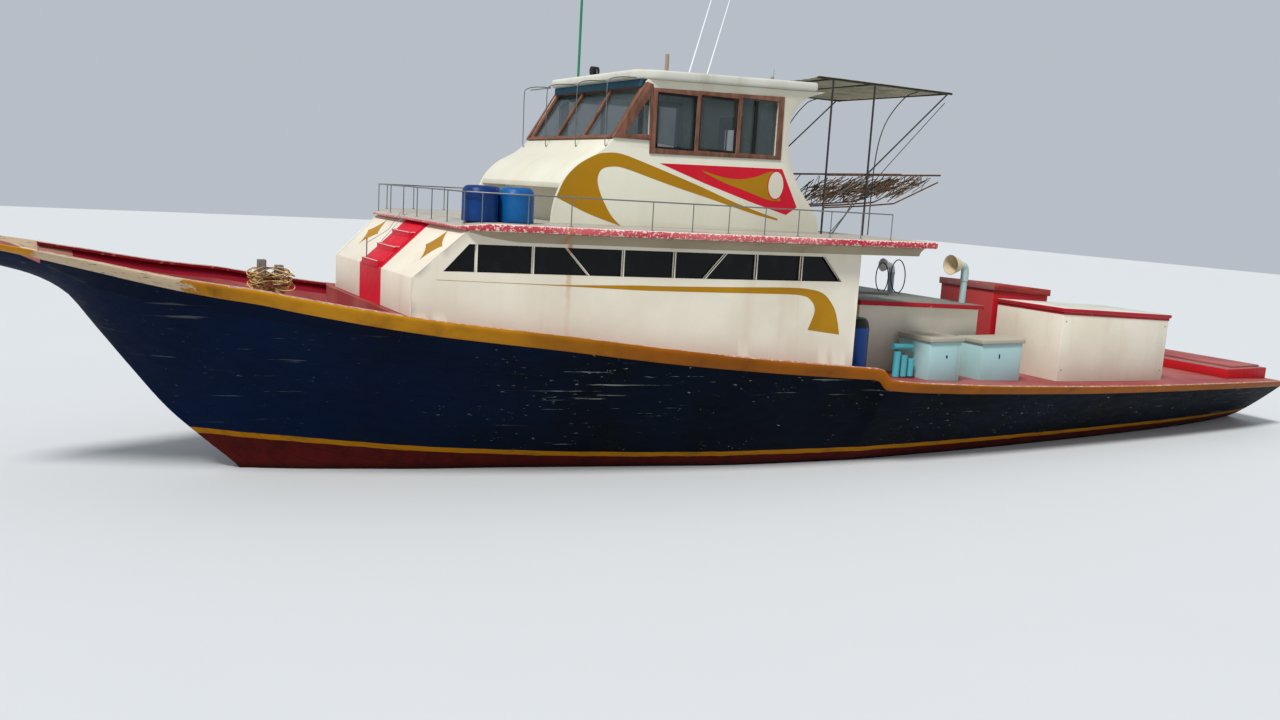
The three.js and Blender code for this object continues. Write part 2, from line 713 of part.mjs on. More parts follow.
// Raked windscreen: a timber frame with four openings and the glass behind it.
const rake = { x0: 5775, z0: 5245, x1: 5215, z1: 6165, thick: 55 };
const rakeLength = Math.hypot(rake.x0 - rake.x1, rake.z1 - rake.z0);
const onRake = (up, out) => [
  rake.x0 + ((rake.x1 - rake.x0) * up + (rake.z1 - rake.z0) * out) / rakeLength,
  rake.z0 + ((rake.z1 - rake.z0) * up - (rake.x1 - rake.x0) * out) / rakeLength
];
const rakePlate = (u0, u1, o0, o1, y0, y1) => sidePlate(
  [onRake(u0, o0), onRake(u0, o1), onRake(u1, o1), onRake(u1, o0)],
  y0,
  y1
);
const screenHalf = innerHalf;
const screenFrame = rakePlate(10, rakeLength - 10, -rake.thick, -4, -screenHalf, screenHalf);
const screenCount = 3;
const screenBar = 60;
const screenPost = 85;
const screenPane = (2 * (screenHalf - screenPost) - (screenCount - 1) * screenBar) / screenCount;
const screenHoles = [];
for (let i = 0; i < screenCount; i += 1) {
  const y0 = -screenHalf + screenPost + i * (screenPane + screenBar);
  screenHoles.push(rakePlate(85, rakeLength - 90, -120, 60, y0, y0 + screenPane));
}
add('windscreen_frame', cut(screenFrame, ...screenHoles), 'timber');
add(
  'windscreen_glass',
  rakePlate(50, rakeLength - 40, -rake.thick - 7, -rake.thick - seat, -screenHalf + 20, screenHalf - 20),
  'clearGlass'
);

// Roof of the wheelhouse, with rounded edges.
const roofRing = (x, low, high, half) => [[x, -half, low], [x, half, low], [x, half, high], [x, -half, high]];
const roofLow = (x) => house.top + riseAt(x) + seat + 3;
const roof = { half: 1730, thick: 112, round: 34 };
const roofEnds = [
  { x: 5420, in: 22, low: 34, high: 78 },
  { x: 5390, in: 8, low: 10, high: 102 },
  { x: 5330, in: 0, low: 0, high: roof.thick },
  { x: 1960, in: 0, low: 0, high: roof.thick },
  { x: 1920, in: 8, low: 10, high: 102 },
  { x: 1900, in: 22, low: 34, high: 78 }
];
add(
  'wheelhouse_roof',
  loft(roofEnds.map(({ x, in: inward, low, high }) => {
    const [half, foot] = [roof.half - inward, roofLow(x)];
    const nip = Math.min(roof.round, (high - low) / 3);
    const side = [
      [half - nip, foot + low],
      [half - nip * 0.3, foot + low + nip * 0.3],
      [half, foot + low + nip],
      [half, foot + high - nip],
      [half - nip * 0.3, foot + high - nip * 0.3],
      [half - nip, foot + high]
    ];
    return [...side, ...side.toReversed().map(([y, z]) => [-y, z])].map(([y, z]) => [x, y, z]);
  })),
  'cream'
);

const houseAftWall = {
  x0: 2450,
  x1: 2500,
  look: 'cream',
  body: box(2450, 2500, -innerHalf + 8, innerHalf - 8, house.foot, house.top + riseAt(2500) - 8)
};
const housePane = { y0: -220, y1: 220, z0: 5050, z1: 5650 };
const houseDoor = { y0: -380, y1: 380, z0: 3960, z1: 5900, look: 'timber', pane: housePane };
doorSet(houseAftWall, houseDoor, { wall: 'wheelhouse_aft_wall', leaf: 'wheelhouse_door' });

// Helm: console, wheel on its shaft, and a seat.
const consoleBody = sidePlate(
  [[5650, house.foot], [5650, 4760], [5560, 4960], [5150, 4860], [5200, house.foot]],
  -700,
  700
);
const wheelAt = { x: 5060, z: 4650, radius: 290 };
const rim = new THREE.TorusGeometry(wheelAt.radius, 16, 8, 28).rotateY(Math.PI / 2);
rim.translate(wheelAt.x, 0, wheelAt.z);
const spokes = [];
for (let i = 0; i < 4; i += 1) {
  const angle = (Math.PI * i) / 4;
  const [dy, dz] = [Math.cos(angle) * 360, Math.sin(angle) * 360];
  spokes.push(bar([[wheelAt.x, -dy, wheelAt.z - dz], [wheelAt.x, dy, wheelAt.z + dz]], 11, 8));
}
const helmShaft = bar([[wheelAt.x - 30, 0, wheelAt.z], [wheelAt.x + 190, 0, wheelAt.z]], 34, 16);
const helmBore = bar([[wheelAt.x, 0, wheelAt.z], [wheelAt.x + 200, 0, wheelAt.z]], 34.8, 16);
add('helm_console', cut(consoleBody, helmBore), 'timber');
add('helm_wheel', join(rim, helmShaft, ...spokes), 'timber');
const seatBase = box(4150, 4550, -220, 220, 4350, 4420);
const seatPost = box(4310, 4390, -40, 40, house.foot, 4360);
const seatBack = box(4100, 4150, -220, 220, 4380, 4900);
add('helm_seat', join(seatBase, seatPost, box(4140, 4160, -220, 220, 4380, 4400), seatBack), 'black');

// Steel railings on the upper deck.
const railing = { top: 4320, r: 11, inset: 70 };
function railingBody(path, posts) {
  const rails = [bar(path.map(([x, y]) => [x, y, railing.top]), railing.r)];
  for (const [x, y] of posts) {
    rails.push(bar([[x, y, upper.top + seat], [x, y, railing.top]], railing.r * 0.9));
  }
  return join(...rails);
}
const railXs = [1400, 2010, 2610, 3220, 3820, 4450, 5060, 5700, 6320, 6930, 7550];
const railY = (x) => upperY(x) - railing.inset;
const portLine = [...railXs.map((x) => [x, railY(x)]), [8130, 2280], [8330, 2100]];
const frontPosts = [1400, 700, 0].map((y) => [8330, y]);
const railPath = [...portLine, ...portLine.toReversed().map(([x, y]) => [x, -y])];
const portPosts = [...portLine, ...frontPosts];
const posts = [...portPosts, ...portPosts.filter(([, y]) => y > 0).map(([x, y]) => [x, -y])];
add('upper_deck_railing', railingBody(railPath, posts), 'steel');

// Drums on the upper deck and one on the after deck.
const drumProfile = (radius, low, high) => [
  [radius * 0.94, low],
  [radius, low + 25],
  [radius, (low + high) / 2 - 12],
  [radius * 1.03, (low + high) / 2],
  [radius, (low + high) / 2 + 12],
  [radius, high - 30],
  [radius * 0.95, high]
];
const drums = [
  { name: 'drum_fore', x: 8030, y: 1930, low: onUpper, high: 4420 },
  { name: 'drum_mid', x: 7480, y: 1960, low: onUpper, high: 4420 },
  { name: 'drum_inner', x: 7770, y: 1410, low: onUpper, high: 4420 }
];
for (const drum of drums) {
  add(drum.name, turned(drum.x, drum.y, drumProfile(265, drum.low, drum.high), 24), 'blueDrum');
}

// Bitts on the foredeck: two posts through one sole timber.
const bitt = { x0: 10280, x1: 10850, half: 60, posts: [{ x: 10690, high: 3140 }, { x: 10440, high: 3060 }] };
const sole = deckAt(bitt.x1) + seat;
const bittPosts = bitt.posts.map(({ x, high }) => (
  box(x - bitt.half, x + bitt.half, -bitt.half, bitt.half, sole + 50, high)
));
add('bow_bitts', join(box(bitt.x0, bitt.x1, -170, 170, sole, sole + 90), ...bittPosts), 'timber');

// Boxes of the after deck. Their feet follow the deck, and their tops slope with the sheer.
const slopedTop = (spec) => (x) => (
  spec.topAft + ((spec.topFore - spec.topAft) * (x - spec.x0)) / (spec.x1 - spec.x0)
);
function onDeck(spec) {
  const { x0, x1, y0, y1 } = spec;
  const high = slopedTop(spec);
  return loft(breaksBetween(x0, x1).map((x) => {
    const low = deckAt(x) + seat;
    return [[x, y0, low], [x, y1, low], [x, y1, high(x)], [x, y0, high(x)]];
  }));
}
function hollowBox(spec) {
  const { x0, x1, y0, y1, thick } = spec;
  const floor = Math.max(deckAt(x0), deckAt(x1)) + 60;
  return cut(onDeck(spec), box(x0 + thick, x1 - thick, y0 + thick, y1 - thick, floor, 4000));
}
function lidOf(spec, lid) {
  const { x0, x1, y0, y1 } = spec;
  const high = slopedTop(spec);
  return loft([x0 - lid.over, x1 + lid.over].map((x) => {
    const z = high(x) + seat;
    return [
      [x, y0 - lid.overIn, z],
      [x, y1 + lid.over, z],
      [x, y1 + lid.over, z + lid.thick],
      [x, y0 - lid.overIn, z + lid.thick]
    ];
  }));
}
const pits = {
  fish_box_fore: { x0: -860, x1: -100, y0: 2100, y1: 2900, thick: 45, topAft: 2130, topFore: 2130 },
  fish_box_aft: { x0: -2640, x1: -1590, y0: 2100, y1: 2720, thick: 45, topAft: 2040, topFore: 2040 },
  hold_box: { x0: -6880, x1: -3650, y0: 1100, y1: 2750, thick: 60, topAft: 2490, topFore: 2640 },
  tank: { x0: -5230, x1: -3600, y0: -480, y1: 1000, thick: 60, topAft: 2750, topFore: 2860 }
};
const lidStyle = {
  fish_box_fore: { over: 35, overIn: 0, thick: 80 },
  fish_box_aft: { over: 35, overIn: 0, thick: 80 },
  hold_box: { over: 35, overIn: 0, thick: 70 },
  tank: { over: 40, overIn: 40, thick: 135 }
};
const boxLook = { fish_box_fore: 'cyan', fish_box_aft: 'cyan', hold_box: 'cream', tank: 'red' };
for (const name of Object.keys(lidStyle)) {
  add(name, hollowBox(pits[name]), boxLook[name]);
  add(`${name}_lid`, lidOf(pits[name], lidStyle[name]), boxLook[name]);
}

// Engine casing over the well, open below, with an overhanging roof and a hatch in it.
const casing = { x0: -2200, x1: 770, y0: -1950, y1: 1950, topAft: 2590, topFore: 2690, thick: 60 };
const casingRoof = { over: 60, half: 2035, thick: 85 };
const casingHead = slopedTop(casing);
const casingTop = (x) => casingHead(x) + casingRoof.thick;
const casingSlab = loft([casing.x0 - casingRoof.over, casing.x1 + casingRoof.over].map((x) => [
  [x, -casingRoof.half, casingHead(x) - 1],
  [x, casingRoof.half, casingHead(x) - 1],
  [x, casingRoof.half, casingTop(x)],
  [x, -casingRoof.half, casingTop(x)]
]));
const casingRoom = box(
  casing.x0 + casing.thick,
  casing.x1 - casing.thick,
  casing.y0 + casing.thick,
  casing.y1 - casing.thick,
  1000,
  2560
);
const hatch = { x0: -1150, x1: -150, half: 500, rim: 40, thick: 45 };
const hatchHole = box(hatch.x0, hatch.x1, -hatch.half, hatch.half, 2400, 3000);
add('engine_casing', cut(join(onDeck(casing), casingSlab), casingRoom, hatchHole), 'cream');
add(
  'casing_hatch',
  loft([hatch.x0 - hatch.rim, hatch.x1 + hatch.rim].map((x) => (
    roofRing(x, casingTop(x) + seat, casingTop(x) + hatch.thick, hatch.half + hatch.rim)
  ))),
  'grey'
);

// Cowl ventilator: a fixed pipe and the cowl that turns on it.
const vent = { x: -2060, y: 1640, r: 62, pipeTop: 3190, axis: 3410 };
const ventBase = casingTop(vent.x + vent.r) + 1;
add('vent_pipe', turned(vent.x, vent.y, [[vent.r, ventBase], [vent.r, vent.pipeTop]], 20), 'cyan');
const cowlNeck = bar(
  [
    [vent.x, vent.y, vent.pipeTop - 90],
    [vent.x, vent.y, vent.pipeTop + 110],
    [vent.x + 60, vent.y, vent.pipeTop + 190],
    [vent.x + 150, vent.y, vent.axis]
  ],
  75,
  20
);
const horn = (rings) => loft(rings.map(([dx, radius]) => {
  const ring = [];
  for (let k = 0; k < 20; k += 1) {
    const angle = (2 * Math.PI * k) / 20;
    ring.push([vent.x + dx, vent.y + radius * Math.cos(angle), vent.axis + radius * Math.sin(angle)]);
  }
  return ring;
}));
const mouth = horn([[140, 78], [230, 100], [320, 140], [400, 185]]);
const mouthHollow = horn([[160, 55], [235, 84], [322, 124], [405, 172]]);
const bore = vent.r + 0.8;
const sleeve = turned(vent.x, vent.y, [[bore, vent.pipeTop - 120], [bore, vent.pipeTop + 8]], 20);
add('cowl', cut(join(cowlNeck, mouth), mouthHollow, sleeve), 'cream');

// Barrel on the after deck by the cabin.
const deckBarrel = { x: 1490, y: 2650, r: 280, high: 2560 };
const barrelLow = deckAt(deckBarrel.x + deckBarrel.r * 0.94) + seat;
const barrelProfile = drumProfile(deckBarrel.r, barrelLow, deckBarrel.high);
add('deck_barrel', turned(deckBarrel.x, deckBarrel.y, barrelProfile, 24), 'blueDrum');

// Canopy abaft the wheelhouse.
const canopy = { x0: -1300, x1: 2150, half: 1600, z: 6560, r: 18 };
const canopyBars = [];
for (const sign of [1, -1]) {
  const y = sign * canopy.half;
  canopyBars.push(bar([[canopy.x0, y, canopy.z], [canopy.x1 - 300, y, canopy.z]], canopy.r));
  canopyBars.push(bar([[560, y, onUpper], [560, y, canopy.z]], canopy.r));
  canopyBars.push(bar([[1500, y, onUpper], [1500, y, canopy.z]], canopy.r));
  canopyBars.push(bar([[560, y, 5000], [canopy.x0 + 100, y, canopy.z]], canopy.r * 0.8));
}
for (const x of [canopy.x0 + 60, 560, 1500]) {
  canopyBars.push(bar([[x, -canopy.half, canopy.z], [x, canopy.half, canopy.z]], canopy.r * 0.9));
}
add('canopy_frame', join(...canopyBars), 'steel');
add(
  'canopy_sheet',
  box(
    canopy.x0,
    canopy.x1 - 320,
    -canopy.half - 40,
    canopy.half + 40,
    canopy.z + canopy.r + seat,
    canopy.z + canopy.r + 8
  ),
  'canvas'
);

// Poles and the floodlight on the wheelhouse roof.
const roofTop = (x) => roofLow(x) + 112;
const pole = { x: 5200, y: -850, r: 22, top: 8600 };
const poleFoot = roofTop(pole.x - pole.r) + 1;
add('signal_pole', bar([[pole.x, pole.y, poleFoot], [pole.x, pole.y, pole.top]], pole.r, 12), 'green');
const lamp = { x: 5140, y: -350, z: roofTop(5140) + 132, r: 78, deep: 60, arm: 100 };
const lampArm = (y0, y1) => (
  box(lamp.x - 12, lamp.x + 12, lamp.y + y0, lamp.y + y1, roofTop(lamp.x) + 10, lamp.z + 25)
);
const fork = join(
  box(
    lamp.x - 30,
    lamp.x + 30,
    lamp.y - lamp.arm,
    lamp.y + lamp.arm,
    roofTop(lamp.x - 30) + 1,
    roofTop(lamp.x) + 20
  ),
  lampArm(-lamp.arm, 12 - lamp.arm),
  lampArm(lamp.arm - 12, lamp.arm)
);
const onTrunnion = (reach, r) => bar([[lamp.x, lamp.y - reach, lamp.z], [lamp.x, lamp.y + reach, lamp.z]], r, 16);
add('lamp_bracket', cut(fork, onTrunnion(lamp.arm + 40, 8.8)), 'steel');
const lampEnds = [-lamp.deep, lamp.deep].map((along) => [lamp.x + along, lamp.y, lamp.z]);
const lampBody = bar([lampEnds[0], [lamp.x, lamp.y, lamp.z], lampEnds[1]], lamp.r, 20);
add('floodlight', join(lampBody, onTrunnion(lamp.arm - 1, 8)), 'black');

// Low platform at the stern with a well in it, and the boards over the well.
const platform = { x0: -10850, x1: -9400, y0: -2600, y1: 2600, top: 1310 };
const sternWell = { x0: platform.x0 + 100, x1: -9850, y0: -2400, y1: 2400 };
const platformBody = onDeck({ ...platform, topAft: platform.top, topFore: platform.top });
const wellFloor = deckAt(platform.x1) + 60;
add(
  'stern_well',
  cut(platformBody, box(sternWell.x0, sternWell.x1, sternWell.y0, sternWell.y1, wellFloor, 2000)),
  'red'
);
const boards = { over: 50, thick: 40, z: platform.top + seat };
add(
  'stern_well_lid',
  box(
    sternWell.x0 - boards.over,
    sternWell.x1 + boards.over,
    sternWell.y0 - boards.over,
    sternWell.y1 + boards.over,
    boards.z,
    boards.z + boards.thick
  ),
  'red'
);

export default boat;
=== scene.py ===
import json
import math

import bmesh
import bpy
import numpy as np
from mathutils import Matrix, Vector

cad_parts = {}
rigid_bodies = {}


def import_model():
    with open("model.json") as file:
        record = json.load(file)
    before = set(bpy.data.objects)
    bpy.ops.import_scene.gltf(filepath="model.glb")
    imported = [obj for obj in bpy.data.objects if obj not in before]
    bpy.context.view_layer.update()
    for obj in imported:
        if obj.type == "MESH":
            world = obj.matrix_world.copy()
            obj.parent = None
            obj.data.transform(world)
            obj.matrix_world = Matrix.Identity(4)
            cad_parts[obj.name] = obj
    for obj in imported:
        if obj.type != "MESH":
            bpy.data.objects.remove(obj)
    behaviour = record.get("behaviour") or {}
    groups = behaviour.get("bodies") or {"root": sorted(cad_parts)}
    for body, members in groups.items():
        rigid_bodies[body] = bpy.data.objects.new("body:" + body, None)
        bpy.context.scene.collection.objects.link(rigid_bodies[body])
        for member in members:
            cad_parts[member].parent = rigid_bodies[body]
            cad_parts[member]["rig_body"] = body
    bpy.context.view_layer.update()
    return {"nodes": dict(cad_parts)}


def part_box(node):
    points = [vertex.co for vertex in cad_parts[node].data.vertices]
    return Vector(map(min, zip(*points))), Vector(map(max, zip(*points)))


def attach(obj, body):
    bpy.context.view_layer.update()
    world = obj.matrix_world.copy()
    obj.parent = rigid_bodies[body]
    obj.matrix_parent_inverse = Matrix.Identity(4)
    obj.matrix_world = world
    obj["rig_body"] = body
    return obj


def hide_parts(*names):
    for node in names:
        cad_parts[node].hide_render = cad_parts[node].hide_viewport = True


# Fishing dhoni afloat: the finish of every piece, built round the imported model.
# Metres; +X is the bow, +Y is port, z = 0 is the waterline.

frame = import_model()
nodes = frame["nodes"]


# Curves

def easeThrough(xs, ys):
    # A monotone cubic through the points: each inner slope is the harmonic mean of the slopes beside it.
    xs, ys = np.asarray(xs, float), np.asarray(ys, float)
    step = np.diff(xs)
    rise = np.diff(ys) / step
    slope = np.zeros(len(xs))
    slope[0], slope[-1] = rise[0], rise[-1]
    product = rise[:-1] * rise[1:]
    total = np.where(product > 0, rise[:-1] + rise[1:], 1)
    slope[1:-1] = np.where(product > 0, 2 * product / total, 0)

    def at(x):
        # On the span that holds x: its two heights and its two slopes, each by its own cubic weight.
        x = np.clip(np.asarray(x, float), xs[0], xs[-1])
        i = np.clip(np.searchsorted(xs, x, side="right") - 1, 0, len(step) - 1)
        t = (x - xs[i]) / step[i]
        return (ys[i] * (1 + 2 * t) * (1 - t) ** 2 + slope[i] * step[i] * t * (1 - t) ** 2
                + ys[i + 1] * t * t * (3 - 2 * t) + slope[i + 1] * step[i] * t * t * (t - 1))
    return at


def flow(points, perSpan=8, corners=()):
    # A cubic run through the points. A slope is half the step between the neighbours, or at a corner the
    # span's own step.
    p = np.asarray(points, float)
    step = np.diff(p, axis=0)
    slope = (np.vstack([step[:1], step]) + np.vstack([step, step[-1:]])) / 2
    start, end = slope[:-1].copy(), slope[1:].copy()
    for i in corners:
        start[i], end[i - 1] = step[i], step[i - 1]
    t = np.linspace(0, 1, perSpan, endpoint=False)[None, :, None]
    run = ((2 * t ** 3 - 3 * t ** 2 + 1) * p[:-1, None] + (t ** 3 - 2 * t ** 2 + t) * start[:, None]
           + (3 * t ** 2 - 2 * t ** 3) * p[1:, None] + (t ** 3 - t ** 2) * end[:, None])
    return np.vstack([run.reshape(-1, p.shape[1]), p[-1:]])


# Shapes: each is (points, faces, wear), and wear is 1 on edges that lose their paint

def anglesRound(count):
    # Even steps of angle round a circle, the last one short of the first.
    return np.linspace(0, 2 * np.pi, count, endpoint=False)


def sections(xs, ys, zs):
    # One section of points at each x: row i holds the y and z of section i.
    return np.stack([np.broadcast_to(xs[:, None], ys.shape), ys, zs], 2)


def squared(angle, power):
    # A sine made squarer: its size to a power below one, with its sign kept.
    return np.sign(np.sin(angle)) * np.abs(np.sin(angle)) ** power


def circlesAlong(path, radius, sides):
    # At each point of the path radius * (cos a, sin a) on the two unit vectors square to the path.
    side, other = frameAlong(path)
    a = anglesRound(sides)[None, :, None]
    return path[:, None] + radius * (np.cos(a) * side[:, None] + np.sin(a) * other[:, None])


def gridFaces(n, m, wrapAcross=False, wrapAlong=False):
    # Four-sided faces of a grid of n by m points: each joins a point to the next one along and across.
    i = np.arange(n if wrapAlong else n - 1)
    j = np.arange(m if wrapAcross else m - 1)
    a, b = np.meshgrid(i, j, indexing="ij")
    a, b = a.ravel(), b.ravel()
    up, right = (a + 1) % n, (b + 1) % m
    return np.stack([a * m + b, up * m + b, up * m + right, a * m + right], 1).tolist()


def outward(points, faces):
    # Turns the faces of a closed shape round if its signed volume is negative.
    volume = 0.0
    fans = {}
    for face in faces:
        fans.setdefault(len(face), []).append(face)
    for size, group in fans.items():
        corners = points[np.array(group)]
        for k in range(1, size - 1):
            volume += np.einsum("ij,ij->", corners[:, 0], np.cross(corners[:, k], corners[:, k + 1]))
    return faces if volume > 0 else [face[::-1] for face in faces]


def loft(rings, wear=None, closed=False):
    # Sections of equal point count joined into one closed skin: row i, column j of the grid is point j
    # of section i.
    rings = np.asarray(rings, float)
    n, m = rings.shape[:2]
    faces = gridFaces(n, m, wrapAcross=True, wrapAlong=closed)
    if not closed:
        faces += [list(range(m)), list(range((n - 1) * m, n * m))[::-1]]
    points = rings.reshape(-1, 3)
    edge = np.zeros(n * m) if wear is None else np.broadcast_to(wear, (n, m)).ravel().astype(float)
    return points, outward(points, faces), edge


def slab(top, bottom):
    # A plate between two grids of the same size, closed round its rim.
    n, m = top.shape[:2]
    points = np.vstack([top.reshape(-1, 3), bottom.reshape(-1, 3)])
    faces = gridFaces(n, m)
    faces += [[i + n * m for i in face[::-1]] for face in gridFaces(n, m)]
    rim = list(range(m)) + [i * m + m - 1 for i in range(1, n)]
    rim += [(n - 1) * m + j for j in range(m - 2, -1, -1)] + [i * m for i in range(n - 2, 0, -1)]
    for a, b in zip(rim, rim[1:] + rim[:1]):
        faces.append([b, a, a + n * m, b + n * m])
    return points, outward(points, faces), np.zeros(len(points))


def plate(outline, low, high, origin=(0, 0, 0), across=(1, 0, 0), up=(0, 0, 1), normal=(0, 1, 0)):
    # A flat plate: its outline lies in the plane of two directions, and it runs from low to high along
    # the third.
    outline = np.asarray(outline, float)
    flat = np.asarray(origin, float) + outline[:, :1] * np.asarray(across) + outline[:, 1:] * np.asarray(up)
    return loft([flat + low * np.asarray(normal), flat + high * np.asarray(normal)])


def frameAlong(path):
    # Two unit vectors across a path at each point, square to its direction.
    path = np.asarray(path, float)
    ahead = np.gradient(path, axis=0)
    ahead /= np.linalg.norm(ahead, axis=1, keepdims=True)
    mean = path[-1] - path[0] if np.linalg.norm(path[-1] - path[0]) > 1e-6 else path[1] - path[0]
    guide = np.eye(3)[np.argmin(np.abs(mean))]
    side = np.cross(ahead, guide)
    side /= np.linalg.norm(side, axis=1, keepdims=True)
    return side, np.cross(side, ahead)


def rod(path, radius, sides=10, closed=False):
    # A round bar: at each point of the path a circle, radius * (cos a, sin a), square to the path.
    path = np.asarray(path, float)
    if closed:
        path = np.vstack([path[-1:], path, path[:1]])
    rings = circlesAlong(path, np.broadcast_to(radius, len(path))[:, None, None], sides)
    return loft(rings[1:-1] if closed else rings, closed=closed)


def rope(path, radius, perTwist=0.09):
    # Three strands laid up: the radius rises and falls three times round, turning as it goes along.
    path = np.asarray(path, float)
    gaps = np.linalg.norm(np.diff(path, axis=0), axis=1)
    along = np.concatenate([[0], np.cumsum(gaps)])
    count = max(6, int(along[-1] / (radius * 1.5)))
    s = np.linspace(0, along[-1], count)
    fine = np.stack([np.interp(s, along, path[:, k]) for k in range(3)], 1)
    sides = 12
    twist = anglesRound(sides)[None] - 2 * np.pi * s[:, None] / perTwist
    bulge = radius * (0.86 + 0.14 * np.cos(3 * twist))
    return loft(circlesAlong(fine, bulge[..., None], sides))


def turned(x, y, profile, sides=48):
    # A body turned about an upright axis: radius and height go along, the angle goes round.
    r, z = np.asarray(profile, float).T[:, :, None]
    a = anglesRound(sides)
    return loft(np.stack([x + r * np.cos(a), y + r * np.sin(a), z + 0 * a], 2))


def block(lo, hi, edge=0.006):
    # A box with rounded edges: each point of a box grid is pulled to the inner box and pushed out again
    # by the edge radius. Points on the rounded edges are marked as worn.
    lo, hi = np.asarray(lo, float), np.asarray(hi, float)
    edge = min(edge, (hi - lo).min() * 0.3)
    inset = min(0.05, (hi - lo).min() * 0.4)
    steps = np.array([0, 0.3 * edge, edge, edge + inset])
    lines = [np.concatenate([lo[k] + steps, hi[k] - steps[::-1]]) for k in range(3)]
    points, faces = [], []
    for k in range(3):
        u, v = (k + 1) % 3, (k + 2) % 3
        for end in (lo[k], hi[k]):
            a, b = np.meshgrid(lines[u], lines[v], indexing="ij")
            side = np.zeros((8, 8, 3))
            side[..., k], side[..., u], side[..., v] = end, a, b
            start = sum(len(p) for p in points)
            way = 1 if end == hi[k] else -1
            faces += [[start + i for i in face[::way]] for face in gridFaces(8, 8)]
            points.append(side.reshape(-1, 3))
    points = np.vstack(points)
    inner = np.clip(points, lo + edge, hi - edge)
    away = points - inner
    size = np.linalg.norm(away, axis=1, keepdims=True)
    atEdge = ((np.abs(away) > 1e-9).sum(1) >= 2).astype(float)
    points = inner + away / np.maximum(size, 1e-9) * edge
    return points, faces, atEdge


def together(*shapes):
    # Several shapes as one: the face numbers of each are moved up by the points before it.
    points, faces, wear, start = [], [], [], 0
    for p, f, w in shapes:
        points.append(p)
        wear.append(w)
        faces += [[i + start for i in face] for face in f]
        start += len(p)
    return np.vstack(points), faces, np.concatenate(wear)


def asBuilt(shape):
    # The port side's shape stays as it is.
    return shape


def mirrorY(shape):
    # The other side's shape: y turned to minus y, and each face run the other way round to point outwards.
    points, faces, wear = shape
    return points * [1, -1, 1], [face[::-1] for face in faces], wear


bothSides = (("port", asBuilt), ("starboard", mirrorY))


def moved(shape, turn, shift):
    # Each point is turned by the matrix and then shifted.
    points, faces, wear = shape
    return points @ np.array(turn.to_3x3()).T + np.asarray(shift, float), faces, wear


def piece(name, shape, look, body="boat", replaces=(), smooth=40, bevel=0.0, extra=None, pick=None, cut=()):
    # Puts a shape into a mesh object that rides on a body. Extra holds other numbers for each point, cut
    # the closed shapes that are taken out of it, and pick says from the faces' centres and normals which
    # of several finishes each has.
    obj = meshObject(name, shape)
    for label, values in {"wear": shape[2], **(extra or {})}.items():
        numbers = obj.data.attributes.new(label, "FLOAT", "POINT").data
        numbers.foreach_set("value", np.asarray(values, np.float32))
    if cut:
        tool = meshObject("cutter", together(*cut))
        mod = obj.modifiers.new("openings", "BOOLEAN")
        mod.operation, mod.object, mod.solver = "DIFFERENCE", tool, "EXACT"
        mod.use_self = len(cut) > 1
        applied(obj)
        bpy.data.objects.remove(tool)
    return finish(obj, look, body, replaces, smooth, bevel, pick)


def meshObject(name, shape):
    # A new object in the scene, with the shape's points and faces as its mesh.
    mesh = bpy.data.meshes.new(name)
    mesh.from_pydata(np.asarray(shape[0]).tolist(), [], shape[1])
    obj = bpy.data.objects.new(name, mesh)
    bpy.context.scene.collection.objects.link(obj)
    return obj


def finish(obj, look, body, replaces, smooth, bevel, pick=None):
    # Rounds the edges, shades and colours the mesh, and tells the frame where the piece rides.
    looks = look if isinstance(look, list) else [look]
    if bevel:
        mod = obj.modifiers.new("edges", "BEVEL")
        mod.width, mod.segments, mod.limit_method, mod.angle_limit = bevel, 2, "ANGLE", math.radians(35)
        mod.use_clamp_overlap = True
        applied(obj)
    mesh = obj.data
    mesh.shade_smooth()
    mesh.set_sharp_from_angle(angle=math.radians(smooth))
    mesh.materials.clear()
    for each in looks:
        mesh.materials.append(each.material)
    if pick:
        centres, normals = (np.zeros(len(mesh.polygons) * 3) for _ in range(2))
        mesh.polygons.foreach_get("center", centres)
        mesh.polygons.foreach_get("normal", normals)
        which = pick(centres.reshape(-1, 3), normals.reshape(-1, 3)).astype(np.int32)
        mesh.polygons.foreach_set("material_index", which)
    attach(obj, body)
    if replaces:
        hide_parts(*([replaces] if isinstance(replaces, str) else replaces))
    return obj


def applied(obj):
    # Turns what the modifiers give into the object's own mesh.
    graph = bpy.context.evaluated_depsgraph_get()
    mesh = bpy.data.meshes.new_from_object(obj.evaluated_get(graph))
    mesh.name = obj.name
    obj.modifiers.clear()
    obj.data = mesh


def merged(mesh, gap=1e-5):
    # Joins points that lie closer than the gap, and flat neighbours into one face.
    work = bmesh.new()
    work.from_mesh(mesh)
    bmesh.ops.remove_doubles(work, verts=work.verts, dist=gap)
    bmesh.ops.dissolve_limit(work, angle_limit=math.radians(0.6), verts=work.verts, edges=work.edges)
    work.to_mesh(mesh)
    work.free()


def carry(node, look, bevel=0.006, smooth=40, pick=None):
    # A copy of a CAD node with its doubles merged and its edges rounded, which stands for the node.
    source = nodes[node]
    obj = bpy.data.objects.new(node + "_finished", source.data.copy())
    bpy.context.scene.collection.objects.link(obj)
    merged(obj.data)
    return finish(obj, look, source["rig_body"], node, smooth, bevel, pick)


# Finishes

